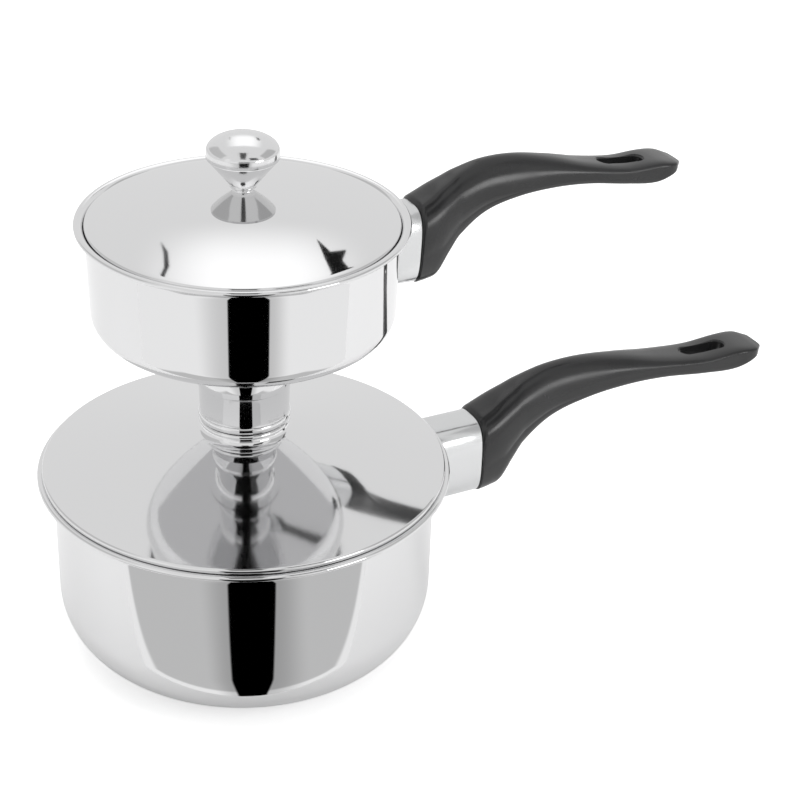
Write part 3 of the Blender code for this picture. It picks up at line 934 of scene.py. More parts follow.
# Sine of the turn of a section's lower half over which its side steps in to the web
WEB_STEP = 0.09
# How often a ferrule's end is moved onto the pan's wall, whose radius changes with the height
WALL_STEPS = 6


@dataclass(frozen=True)
class Section:
    """A cross section of a handle: a rounded rectangle that faces along the handle.

    Its shoulder is the height of the widest place, from -1 to 1. Over it the side is rounded by the crown's
    squareness, and under it the side steps in to the web.
    """

    reach: float
    rise: float
    half_height: float
    half_width: float
    squareness: float
    crown: float
    shoulder: float = 0.0
    web: float = 0.0

    def values(self) -> tuple[float, ...]:
        """All but its reach."""
        return (
            self.rise, self.half_height, self.half_width, self.squareness, self.crown, self.shoulder, self.web
        )

    def scaled(self, length: float, scale: float) -> "Section":
        """Gives the section in metres, of one whose reach is a share of the length.

        Args:
            length: The handle's length.
            scale: What its other sizes are multiplied by.

        Returns:
            The section.
        """
        return Section(
            self.reach * length, self.rise * scale, self.half_height * scale, self.half_width * scale,
            self.squareness, self.crown, self.shoulder, self.web,
        )

    def ring(self, shape: BMesh, points: int) -> list[BMVert]:
        """Draws the section as a loop of edges.

        Args:
            shape: The bmesh that it goes into.
            points: How many points it gets.

        Returns:
            Its vertices.
        """
        made = bmesh.ops.create_circle(shape, segments=points, radius=1.0)["verts"]
        for vert in made:
            side, up = vert.co.x, vert.co.y
            power = 2.0 / (self.crown if up > 0 else self.squareness)
            width = self.half_width * (1 - self.web * min(max(-up, 0.0) / WEB_STEP, 1.0))
            room = math.copysign(1.0, up) - self.shoulder
            vert.co = (
                self.reach,
                width * math.copysign(abs(side) ** power, side),
                self.rise + self.half_height * (self.shoulder + room * abs(up) ** power),
            )
        return made


def hermite(start: float, end: float, slopes: tuple[float, float], span: float, share: float) -> float:
    """Value between two sections whose slopes along the handle are known.

    Args:
        start: The value at the first section.
        end: The value at the second.
        slopes: Its slope at both.
        span: The distance between them.
        share: Where between them, from 0 to 1.

    Returns:
        The value.
    """
    rest = 1 - share
    return (
        (1 + 2 * share) * rest ** 2 * start + share ** 2 * (3 - 2 * share) * end
        + share * rest ** 2 * span * slopes[0] - share ** 2 * rest * span * slopes[1]
    )


def slopes(sections: list[Section], index: int) -> list[float]:
    """How a section's values change along the handle.

    Args:
        sections: The handle's sections.
        index: Which of them.

    Returns:
        The slope of each value, taken between both neighbours.
    """
    before = sections[max(index - 1, 0)]
    after = sections[min(index + 1, len(sections) - 1)]
    run = after.reach - before.reach
    return [(last - first) / run for first, last in zip(before.values(), after.values())]


def lofted(rings: list[list[BMVert]], shape: BMesh) -> None:
    """Bridges a row of loops and closes both ends.

    Args:
        rings: The loops' vertices, in order.
        shape: The bmesh that they are in.
    """
    loops = [list(dict.fromkeys(edge for vert in ring for edge in vert.link_edges)) for ring in rings]
    for near, far in zip(loops, loops[1:]):
        bmesh.ops.bridge_loops(shape, edges=near + far)
    bmesh.ops.contextual_create(shape, geom=loops[0])
    bmesh.ops.contextual_create(shape, geom=loops[-1])
    bmesh.ops.recalc_face_normals(shape, faces=shape.faces)


@dataclass(frozen=True)
class Grip:
    """A gooseneck handle with its ferrule and screw, in a frame whose +X runs out along it."""

    side: str
    vessel: Vessel
    body: Body
    length: float
    scale: float
    ferrule_length: float
    ferrule_clearance: float
    tilt_deg: float
    engagement: float
    root_half_width: float = 0.0146
    root_half_height: float = 0.0214
    root_squareness: float = 3.3
    root_rounding: float = 0.0016
    root_turns: tuple[float, ...] = (0.0, 22.5, 45.0, 67.5)
    tail_shares: tuple[float, ...] = (0.35, 0.75)
    spigot_length: float = 0.0060
    ferrule_sheet: float = 0.0008
    ferrule_step: float = 0.0006
    ferrule_bevel: float = 0.00012
    ring_points: int = 176
    rings_per_span: int = 8
    screw_drop: float = 0.0075
    screw_seat: float = 0.0130
    screw_radius: float = 0.0025
    head_radius: float = 0.0042
    head_height: float = 0.0030
    bore_radius: float = 0.0048
    bore_length: float = 0.0200
    bore_overlap: float = 0.0040
    washer_radius: float = 0.0045
    washer_thickness: float = 0.0008
    washer_bevel: float = 0.00015
    slot_length: float = 0.0275
    slot_width: float = 0.0086
    slot_margin: float = 0.0204
    slot_rounding: float = 0.0009
    slot_depth: float = 0.0400
    slot_mouth: float = 1.3
    slot_turns: tuple[float, ...] = (15.0, 30.0, 45.0, 60.0, 70.0)
    sections: tuple[Section, ...] = (
        Section(0.045, 0.0024, 0.0228, 0.0146, 3.6, 3.0, 0.10, 0.05),
        Section(0.079, 0.0051, 0.0234, 0.0140, 3.8, 2.8, 0.06, 0.07),
        Section(0.118, 0.0115, 0.0202, 0.0127, 3.8, 2.6, -0.04, 0.08),
        Section(0.157, 0.0176, 0.0173, 0.0114, 3.8, 2.4, -0.16, 0.08),
        Section(0.247, 0.0253, 0.0138, 0.0099, 3.8, 2.2, -0.36, 0.07),
        Section(0.360, 0.0286, 0.0111, 0.0096, 3.6, 2.2, -0.50, 0.02),
        Section(0.500, 0.0279, 0.0082, 0.0098, 3.3, 2.6, -0.30),
        Section(0.640, 0.0252, 0.0057, 0.0107, 3.6, 3.2),
        Section(0.781, 0.0223, 0.0051, 0.0119, 4.5, 4.5),
        Section(0.899, 0.0219, 0.0059, 0.0122, 6.0, 6.0),
        Section(0.966, 0.0233, 0.0034, 0.0120, 6.0, 6.0),
        Section(1.000, 0.0240, 0.0014, 0.0070, 4.0, 4.0),
    )

    @property
    def half_width(self) -> float:
        """Half width of the handle's root."""
        return self.root_half_width * self.scale

    @property
    def half_height(self) -> float:
        """Half height of the handle's root."""
        return self.root_half_height * self.scale

    @property
    def joint_height(self) -> float:
        """Height of the ferrule's centre over the pan's base."""
        top = self.vessel.height - 2 * self.vessel.curl_radius - self.ferrule_clearance
        return top - self.half_height + self.ferrule_step

    @property
    def seat(self) -> float:
        """How far out along the handle its washer sits."""
        return self.screw_seat * self.scale

    @property
    def hole(self) -> float:
        """Radius of the holes that the screw passes."""
        return self.screw_radius + BORE_GAP

    @property
    def mount(self) -> Matrix:
        """Place of the joint between ferrule and handle.

        Returns:
            The matrix that takes the handle's own frame there.
        """
        radius = self.vessel.wall_radius(self.joint_height) + self.ferrule_length
        place = Matrix.Translation((radius, 0.0, self.vessel.base_z + self.joint_height))
        return place @ Matrix.Rotation(-math.radians(self.tilt_deg), 4, "Y")

    @property
    def screw_axis(self) -> Matrix:
        """Turns +Z along the handle, on the screw's axis."""
        drop = Matrix.Translation((0.0, 0.0, -self.screw_drop))
        return self.mount @ drop @ Matrix.Rotation(math.pi / 2, 4, "Y")

    def rows(self) -> list[Section]:
        """The handle's sections from its root to its tail, as fine as the loft needs.

        Returns:
            The sections in metres.
        """
        given = [self.root_section(0.0, 0.0)]
        given += [section.scaled(self.length, self.scale) for section in self.sections]
        filled = []
        for index, (start, end) in enumerate(zip(given, given[1:])):
            run = end.reach - start.reach
            pairs = list(zip(slopes(given, index), slopes(given, index + 1)))
            for step in range(self.rings_per_span):
                share = step / self.rings_per_span
                blend = [
                    hermite(first, last, pair, run, share)
                    for first, last, pair in zip(start.values(), end.values(), pairs)
                ]
                filled.append(Section(start.reach + run * share, *blend))
        return filled + [given[-1]]

    def root_section(self, reach: float, drop: float) -> Section:
        """Gives the section of the handle's root, or one inside it.

        Args:
            reach: Its place along the handle.
            drop: How far it lies inside the root's outline.

        Returns:
            The section.
        """
        square = self.root_squareness
        return Section(reach, 0.0, self.half_height - drop, self.half_width - drop, square, square)

    def handle_shape(self) -> BMesh:
        """Makes the moulding: spigot, rounded root, gooseneck and tail.

        Returns:
            The closed mesh.
        """
        inset = self.ferrule_step + self.ferrule_sheet + SEAT_GAP
        rows = [self.root_section(-self.spigot_length, inset), self.root_section(0.0, inset)]
        for turn in map(math.radians, self.root_turns):
            reach = self.root_rounding * (1 - math.cos(turn))
            rows.append(self.root_section(reach, self.root_rounding * (1 - math.sin(turn))))
        body = self.rows()
        rows += [row for row in body if row.reach > self.root_rounding]
        tail = body[-1]
        for share in self.tail_shares:
            edge = tail.half_height * share
            rows.append(
                replace(tail, half_height=tail.half_height - edge, half_width=tail.half_width - edge)
            )
        shape = bmesh.new()
        lofted([row.ring(shape, self.ring_points) for row in rows], shape)
        return moved(shape, self.mount)

    def bore_shape(self, radius: float, start: float, end: float) -> BMesh:
        """Makes a drill on the screw's axis.

        Args:
            radius: Its radius.
            start: Where it starts along the handle.
            end: Where it ends.

        Returns:
            The closed mesh.
        """
        shape = bmesh.new()
        middle = Matrix.Translation((0.0, 0.0, (start + end) / 2))
        bmesh.ops.create_cone(
            shape, cap_ends=True, segments=BORE_FACETS, radius1=radius, radius2=radius, depth=end - start,
            matrix=self.screw_axis @ middle,
        )
        return shape

    def slot_shape(self) -> BMesh:
        """Makes the cutter of the hanging slot, with a rounded mouth on top.

        Returns:
            The closed mesh.
        """
        radius = self.slot_width * self.scale / 2
        half_straight = self.slot_length * self.scale / 2 - radius
        middle = self.length - (self.slot_margin + self.slot_length / 2) * self.scale
        surface = [(row.reach, row.rise + row.half_height) for row in self.rows()]
        near = min(surface, key=lambda point: abs(point[0] - middle + half_straight))
        far = min(surface, key=lambda point: abs(point[0] - middle - half_straight))
        slope = (far[1] - near[1]) / (far[0] - near[0])
        rounding = self.slot_rounding * self.scale
        mouth = [(0.0, -self.slot_depth), (0.0, -rounding)]
        mouth += [
            (rounding * (1 - math.cos(turn)), rounding * (math.sin(turn) - 1))
            for turn in map(math.radians, self.slot_turns)
        ]
        mouth.append((rounding * self.slot_mouth, rounding))
        shape = bmesh.new()
        rings = []
        for grow, height in mouth:
            ring = bmesh.ops.create_circle(shape, segments=BORE_FACETS, radius=radius + grow)["verts"]
            for vert in ring:
                x = vert.co.x + math.copysign(half_straight, vert.co.x)
                vert.co = (middle + x, vert.co.y, near[1] + (middle + x - near[0]) * slope + height)
            rings.append(ring)
        lofted(rings, shape)
        return moved(shape, self.mount)

    def ferrule_shape(self) -> BMesh:
        """Makes the sleeve's skin, whose inner end follows the pan's wall.

        Returns:
            The skin.
        """
        shape = bmesh.new()
        self.root_section(-SEAT_GAP, self.ferrule_step).ring(shape, self.ring_points)
        made = bmesh.ops.extrude_edge_only(shape, edges=shape.edges[:])
        inner = [element for element in made["geom"] if isinstance(element, BMVert)]
        moved(shape, self.mount)
        along = self.mount.to_3x3() @ Vector((1.0, 0.0, 0.0))
        for vert in inner:
            for _ in range(WALL_STEPS):
                wall = self.vessel.side_radius(vert.co.z - self.vessel.base_z) + SEAT_GAP
                reach = math.sqrt(wall ** 2 - vert.co.y ** 2)
                vert.co += along * ((reach - vert.co.x) / along.x)
        face_outwards(shape, Lookout.HIGHEST_UP)
        return shape

    def screw(self) -> ScrewForm:
        """Gives the screw that draws the handle onto its stud.

        Returns:
            The screw, on the Z axis.
        """
        under_head = self.seat + 2 * SEAT_GAP + self.washer_thickness
        tip = -self.spigot_length - SEAT_GAP - self.engagement
        return ScrewForm(tip, under_head, self.screw_radius, self.head_radius, self.head_height)

    def build(self, workshop: Workshop) -> None:
        """Builds and dresses all pieces of the handle.

        Args:
            workshop: Where pieces are made.
        """
        node, over = self.side + "_handle", self.bore_overlap
        cutters = (
            self.bore_shape(self.hole, -self.spigot_length - over, self.seat + over),
            self.bore_shape(self.bore_radius, self.seat, self.seat + self.bore_length),
            self.slot_shape(),
        )
        workshop.add(
            node + "_moulding", self.handle_shape(), BLACK_PHENOLIC, self.body, node, cutters=cutters
        )
        workshop.add(
            self.side + "_sleeve", self.ferrule_shape(), SATIN_STEEL, self.body, self.side + "_ferrule",
            sheet=self.ferrule_sheet, bevel=self.ferrule_bevel,
        )
        screw, axis = self.screw(), self.screw_axis
        washer = washer_shape(self.seat + SEAT_GAP, self.washer_radius, self.hole, self.washer_thickness)
        workshop.add(
            node + "_ring", moved(washer, axis), PLAIN_STEEL, self.body, node + "_washer",
            bevel=self.washer_bevel,
        )
        workshop.add(
            node + "_bolt", moved(screw.shape(), axis), PLAIN_STEEL, self.body, node + "_screw",
            cutters=(moved(screw.recess(), axis),),
        )
        workshop.repaint(node + "_stud", PLAIN_STEEL)


# Sub-assemblies


@dataclass(frozen=True)
class LowerPot:
    """The pot that holds the stew, with its handle."""

    vessel: Vessel
    grip: Grip

    def build(self, workshop: Workshop) -> None:
        """Builds the pot's shell and its handle.

        Args:
            workshop: Where pieces are made.
        """
        shape = self.vessel.shape()
        workshop.add("lower_pot_shell", shape, MIRROR_STEEL, Body.POT, "lower_pot", sheet=self.vessel.sheet)
        self.grip.build(workshop)


@dataclass(frozen=True)
class SteamFunnel:
    """The cone that closes the pot, and the beaded neck that the pan's collar slips over."""

    vessel: Vessel
    sheet: float = 0.0007
    edge_inset: float = 0.0024
    hem_radius: float = 0.0014
    hem_squareness: float = 4.0
    hem_turn: float = 240.0
    rise: float = 0.0229
    fillet: float = 0.0042
    neck_radius: float = 0.0200
    bead_depth: float = 0.0017
    bead_height: float = 0.0031
    spigot_length: float = 0.0160

    @property
    def hem(self) -> tuple[float, float]:
        """Radius and height of the middle of the rolled hem."""
        radius = self.vessel.rim_radius - self.edge_inset - self.hem_radius
        return radius, self.vessel.hem_rest(radius, self.hem_radius)

    @property
    def bead_top(self) -> float:
        """Height of the stop bead's top, which the collar rests on."""
        return self.hem[1] + self.rise + self.bead_height

    def shape(self) -> BMesh:
        """Makes the upper skin: spigot, bead, fillet, cone and hem.

        Returns:
            The skin.
        """
        hem_r, hem_z = self.hem
        foot_z = hem_z + self.rise
        fillet_r = self.neck_radius + self.fillet
        run = hem_r - fillet_r
        reach = self.fillet + self.hem_radius
        slope = math.degrees(math.atan2(self.rise, run) - math.asin(reach / math.hypot(run, self.rise)))
        half_bead = self.bead_height / 2
        points = [(self.neck_radius, self.bead_top + self.spigot_length)]
        points += arc((self.neck_radius, foot_z + half_bead), (self.bead_depth, half_bead), 90, -90, 16)
        points += arc((fillet_r, foot_z), self.fillet, 180, 270 - slope, 12)[1:]
        points += arc(self.hem, self.hem_radius, 90 - slope, 0, 12)
        points += arc(self.hem, self.hem_radius, 0, -90, 12, self.hem_squareness)[1:]
        points += arc(self.hem, self.hem_radius, -90, 90 - self.hem_turn, 6)[1:]
        return turned(points, LARGE_FACETS, Lookout.LOWEST_DOWN)

    def build(self, workshop: Workshop) -> None:
        """Builds the funnel.

        Args:
            workshop: Where pieces are made.
        """
        workshop.add("funnel_shell", self.shape(), CONE_STEEL, Body.FUNNEL, "steam_funnel", sheet=self.sheet)


@dataclass(frozen=True)
class Collar:
    """The sleeve under the upper pan, with a raised band and a beaded mouth."""

    bottom_z: float
    neck_radius: float
    sheet: float = 0.0008
    height: float = 0.0485
    flare: float = 0.0006
    bead_depth: float = 0.0008
    bead_height: float = 0.0034
    band_bottom: float = 0.0182
    band_height: float = 0.0084
    band_depth: float = 0.0007
    band_slope: float = 0.0008
    flange_width: float = 0.0060
    fillet: float = 0.0025
    slope_steps: int = 8

    def shape(self) -> BMesh:
        """Makes the outer skin from the flange down to the mouth.

        Returns:
            The skin.
        """
        mouth_r = self.neck_radius + RUNNING_GAP + self.sheet
        top_z = self.bottom_z + self.height - self.sheet
        top_r = mouth_r + self.flare
        band_z = self.bottom_z + self.band_bottom
        band_top = band_z + self.band_height
        band_r = top_r + self.band_depth
        slope = self.band_slope
        half_bead = self.bead_height / 2
        points = [(top_r + self.flange_width, top_z)]
        points += arc((top_r + self.fillet, top_z - self.fillet), self.fillet, 90, 180, 10)
        for radius, height, depth in (
            (top_r, band_top, self.band_depth), (band_r, band_z + slope, -self.band_depth),
        ):
            for step in range(self.slope_steps + 1):
                share = step / self.slope_steps
                swell = depth * (1 - math.cos(math.pi * share)) / 2
                points.append((radius + swell, height - slope * share))
        points.append((mouth_r, self.bottom_z + self.bead_height + self.bead_depth))
        points += arc((mouth_r, self.bottom_z + half_bead), (self.bead_depth, half_bead), 84, -84, 16)
        points.append((mouth_r, self.bottom_z))
        return turned(points, SMALL_FACETS, Lookout.LOWEST_DOWN)

    def build(self, workshop: Workshop) -> None:
        """Builds the collar.

        Args:
            workshop: Where pieces are made.
        """
        workshop.add("collar_sleeve", self.shape(), MIRROR_STEEL, Body.PAN, "pan_collar", sheet=self.sheet)


@dataclass(frozen=True)
class Sieve:
    """The perforated plate on the upper pan's floor."""

    vessel: Vessel
    sheet: float = 0.0007
    floor_margin: float = 0.0020
    height: float = 0.0065
    shoulder: float = 0.0020
    hole_radius: float = 0.0022
    hole_pitch: float = 0.0135
    hole_margin: float = 0.0040
    holes_per_ring: int = 6
    punch_depth: float = 0.0042

    def build(self, workshop: Workshop) -> None:
        """Builds the plate and punches its rings of holes.

        Args:
            workshop: Where pieces are made.
        """
        skirt_r = self.vessel.flat_radius - self.floor_margin
        foot_z = self.vessel.base_z + self.vessel.sheet + SEAT_GAP
        top_z = foot_z + self.height
        flat_r = skirt_r - self.shoulder
        points = [(0.0, top_z)]
        points += arc((flat_r, top_z - self.shoulder), self.shoulder, 90, 0, 10)
        points.append((skirt_r, foot_z))
        punches = bmesh.new()
        rings = int((flat_r - self.hole_radius - self.hole_margin) / self.hole_pitch)
        for ring in range(rings + 1):
            count = max(self.holes_per_ring * ring, 1)
            for step in range(count):
                turn = math.tau * (step + 0.5) / count
                radius = ring * self.hole_pitch
                bmesh.ops.create_cone(
                    punches, cap_ends=True, segments=HOLE_FACETS, radius1=self.hole_radius,
                    radius2=self.hole_radius, depth=self.punch_depth,
                    matrix=Matrix.Translation((radius * math.cos(turn), radius * math.sin(turn), top_z)),
                )
        workshop.add(
            "sieve_disc", turned(points, LARGE_FACETS, Lookout.HIGHEST_UP), MIRROR_STEEL, Body.SIEVE,
            "sieve_plate", sheet=self.sheet, cutters=(punches,),
        )


@dataclass(frozen=True)
class UpperPan:
    """The pan that holds the couscous, with its collar and handle."""

    vessel: Vessel
    collar: Collar
    grip: Grip

    def build(self, workshop: Workshop) -> None:
        """Builds the pan's shell, collar and handle.

        Args:
            workshop: Where pieces are made.
        """
        shape = self.vessel.shape()
        workshop.add("upper_pan_shell", shape, MIRROR_STEEL, Body.PAN, "upper_pan", sheet=self.vessel.sheet)
        self.collar.build(workshop)
        self.grip.build(workshop)


@dataclass(frozen=True)
class Lid:
    """The shallow dome whose hem rests inside the upper pan's lip."""

    vessel: Vessel
    sheet: float = 0.0007
    overlap: float = 0.0009
    hem_radius: float = 0.0011
    hem_turn: float = 240.0
    rise: float = 0.0040
    hole_radius: float = 0.0023

    @property
    def hem(self) -> tuple[float, float]:
        """Radius and height of the middle of the rolled hem."""
        radius = self.vessel.body_radius - self.vessel.sheet + self.overlap - self.hem_radius
        return radius, self.vessel.hem_rest(radius, self.hem_radius)

    @property
    def edge_slope(self) -> float:
        """Slope of the dome where it meets the hem, in radians."""
        return 2 * math.atan(self.rise / self.hem[0])

    @property
    def sphere_radius(self) -> float:
        """Radius of the dome's upper side."""
        return self.hem[0] / math.sin(self.edge_slope) + self.hem_radius

    @property
    def centre_z(self) -> float:
        """Height of the sphere's centre."""
        return self.hem[1] - (self.sphere_radius - self.hem_radius) * math.cos(self.edge_slope)

    def height_at(self, radius: float) -> float:
        """Finds how high the dome's upper side is.

        Args:
            radius: The radius where it is wanted.

        Returns:
            The height in the frame.
        """
        return self.centre_z + math.sqrt(self.sphere_radius ** 2 - radius ** 2)

    def build(self, workshop: Workshop) -> None:
        """Builds the dome.

        Args:
            workshop: Where pieces are made.
        """
        slope = math.degrees(self.edge_slope)
        first = math.degrees(math.asin(self.hole_radius / self.sphere_radius))
        points = arc((0.0, self.centre_z), self.sphere_radius, 90 - first, 90 - slope, 24)
        points += arc(self.hem, self.hem_radius, 90 - slope, 90 - self.hem_turn, 24)[1:]
        shape = turned(points, LARGE_FACETS, Lookout.HIGHEST_UP)
        workshop.add("lid_dome", shape, MIRROR_STEEL, Body.COVER, "lid", sheet=self.sheet)


@dataclass(frozen=True)
class Bead:
    """A ring at the foot of the knob's cone, its height over the foot and its sizes in half neck heights."""

    set_in: float
    height: float
    half_width: float
    half_height: float
    start_deg: float

    def points(self, radius: float, foot: float, unit: float) -> Profile:
        """Draws the ring's outline down to its lowest point.

        Args:
            radius: The radius that it is set in from.
            foot: Height of the cone's foot.
            unit: Half the neck's height.

        Returns:
            The points.
        """
        centre = (radius - unit * self.set_in, foot + unit * self.height)
        return arc(centre, (unit * self.half_width, unit * self.half_height), self.start_deg, -90, 10)


@dataclass(frozen=True)
class Knob:
    """The lid's knob: skirt, ringed cone, cap, and the screw and washer under the lid."""

    lid: Lid
    sheet: float = 0.0007
    skirt_radius: float = 0.0146
    skirt_top_radius: float = 0.0057
    skirt_height: float = 0.0090
    skirt_bulge: float = 0.0003
    skirt_lip: float = 0.0010
    skirt_steps: int = 16
    neck_height: float = 0.0026
    ring_radius: float = 0.0051
    foot_radius: float = 0.0052
    foot_bead: Bead = Bead(0.0, 0.55, 0.8, 0.55, 70)
    neck_bead: Bead = Bead(0.6, -1.0, 0.6, 0.85, 75)
    cone_start: tuple[float, float] = (0.9, 1.35)
    cone_height: float = 0.0139
    radius: float = 0.0166
    band_height: float = 0.0032
    dome_height: float = 0.0077
    core_bevel: float = 0.00012
    cap_bevel: float = 0.00010
    screw_radius: float = 0.0020
    head_radius: float = 0.0036
    head_height: float = 0.0024
    engagement: float = 0.0080
    washer_radius: float = 0.0046
    washer_thickness: float = 0.0008
    washer_bevel: float = 0.00015

    @property
    def hole(self) -> float:
        """Radius of the holes that the screw passes."""
        return self.screw_radius + BORE_GAP

    @property
    def skirt_foot(self) -> float:
        """Height of the skirt's foot."""
        return self.lid.height_at(self.skirt_radius) + SEAT_GAP

    @property
    def neck_z(self) -> float:
        """Height of the neck's lower end, on the skirt."""
        return self.skirt_foot + self.skirt_height + SEAT_GAP

    def skirt_shape(self) -> BMesh:
        """Makes the skirt's skin: flat top, slightly convex side and a short lip.

        Returns:
            The skin.
        """
        foot, top = self.skirt_foot, self.skirt_foot + self.skirt_height
        run = self.skirt_radius - self.skirt_top_radius
        drop = foot + self.skirt_lip - top
        points = [(self.hole, top)]
        for step in range(self.skirt_steps + 1):
            share = step / self.skirt_steps
            bulge = 4 * share * (1 - share) * self.skirt_bulge
            points.append((self.skirt_top_radius + run * share + bulge, top + drop * share + bulge))
        points.append((self.skirt_radius, foot))
        return turned(points, SMALL_FACETS, Lookout.HIGHEST_UP)

    def body_shape(self) -> BMesh:
        """Makes the solid cone, with two rings at its foot and the land that carries the cap.

        Returns:
            The closed mesh.
        """
        foot = self.neck_z + self.neck_height
        shoulder = foot + self.cone_height
        cap_top = shoulder + SEAT_GAP + self.band_height
        rim = self.radius - self.sheet - SEAT_GAP
        bore_end = self.neck_z + self.engagement + SEAT_GAP
        unit = self.neck_height / 2
        out, up = self.cone_start
        points = [(0.0, cap_top), (rim, cap_top), (rim, shoulder), (self.radius - SEAT_GAP, shoulder)]
        points.append((self.foot_radius + unit * out, foot + unit * up))
        points += self.foot_bead.points(self.foot_radius, foot, unit)
        points += self.neck_bead.points(self.ring_radius, foot, unit)
        points += [(self.hole, self.neck_z), (self.hole, bore_end), (0.0, bore_end)]
        return turned(points, SMALL_FACETS, Lookout.HIGHEST_UP)

    def cap_shape(self) -> BMesh:
        """Makes the cap's skin: dome and band.

        Returns:
            The skin.
        """
        cap_z = self.neck_z + self.neck_height + self.cone_height + SEAT_GAP
        dome_z = cap_z + self.band_height
        points = arc((0.0, dome_z), (self.radius, self.dome_height), 90, 0, 32)
        points.append((self.radius, cap_z))
        return turned(points, SMALL_FACETS, Lookout.HIGHEST_UP)

    def build(self, workshop: Workshop) -> None:
        """Builds the knob's pieces.

        Args:
            workshop: Where pieces are made.
        """
        # The skirt takes the knob's steel with painted shade.
        skirt = workshop.add(
            "knob_skirt_cone", self.skirt_shape(), SHADED_SKIRT_STEEL, Body.COVER, "knob_skirt", sheet=self.sheet
        )
        core = workshop.add(
            "knob_core", self.body_shape(), KNOB_STEEL, Body.COVER, "knob_body", bevel=self.core_bevel
        )
        cap = workshop.add(
            "knob_cap_dome", self.cap_shape(), KNOB_STEEL, Body.COVER, "knob_cap", sheet=self.sheet,
            bevel=self.cap_bevel,
        )
        under_lid = self.lid.height_at(self.washer_radius) - self.lid.sheet - SEAT_GAP
        washer_z = under_lid - self.washer_thickness
        washer = washer_shape(washer_z, self.washer_radius, self.hole, self.washer_thickness)
        workshop.add(
            "knob_washer_ring", washer, PLAIN_STEEL, Body.COVER, "knob_washer", bevel=self.washer_bevel
        )
        head_z = washer_z - SEAT_GAP
        tip = head_z - self.neck_z - self.engagement
        screw = ScrewForm(tip, 0.0, self.screw_radius, self.head_radius, self.head_height)
        upside_down = Matrix.Translation((0.0, 0.0, head_z)) @ Matrix.Rotation(math.pi, 4, "X")
        bolt = workshop.add(
            "knob_bolt", moved(screw.shape(), upside_down), PLAIN_STEEL, Body.COVER, "knob_screw",
            cutters=(moved(screw.recess(), upside_down),),
        )
        for piece in (skirt, core, cap, bolt):
            piece.visible_glossy = False


# Studio

# Left and right edge of the dark gap between the panels in front
GAP_LEFT = -0.3375
GAP_RIGHT = 0.5236


class Glow(Enum):
    """How a panel's brightness runs over it."""

    EVEN = "even"
    TABLE = "table"
    STRIP = "strip"
    CROWN = "crown"


@dataclass(frozen=True)
class Panel:
    """A flat panel that only reflections see.

    Its corners are given to the right of the steamer as the camera sees it, towards the camera, and up. For
    rays that have met polished steel more than once, it can have another level.
    """

    name: str
    level: float
    corners: tuple[Place, ...]
    glow: Glow = Glow.EVEN
    later: float | None = None
    later_from: int = 2


@dataclass(frozen=True)
class Flank:
    """One side of the dark gap on the table in front, which widens towards the camera."""

    start: float
    slope: float
    way: float
    bend: float
    shade: float
    reach: float


@dataclass(frozen=True)
class Lamp:
    """A round soft lamp, placed as a panel's corner is."""

    name: str
    place: Place
    size: float
    power: float


def wall(start: tuple[float, float], end: tuple[float, float], low: float, high: float) -> tuple[Place, ...]:
    """Lists the corners of an upright panel.

    Args:
        start: Where it starts, to the right and towards the camera.
        end: Where it ends.
        low: Height of its lower edge.
        high: Height of its upper edge.

    Returns:
        The corners.
    """
    return (*start, low), (*end, low), (*end, high), (*start, high)


def board(left: float, right: float, back: float, front: float, height: float) -> tuple[Place, ...]:
    """Lists the corners of a level panel.

    Args:
        left: Its left edge.
        right: Its right edge.
        back: Its edge away from the camera.
        front: Its edge towards the camera.
        height: Its height.

    Returns:
        The corners.
    """
    return (left, back, height), (right, back, height), (right, front, height), (left, front, height)


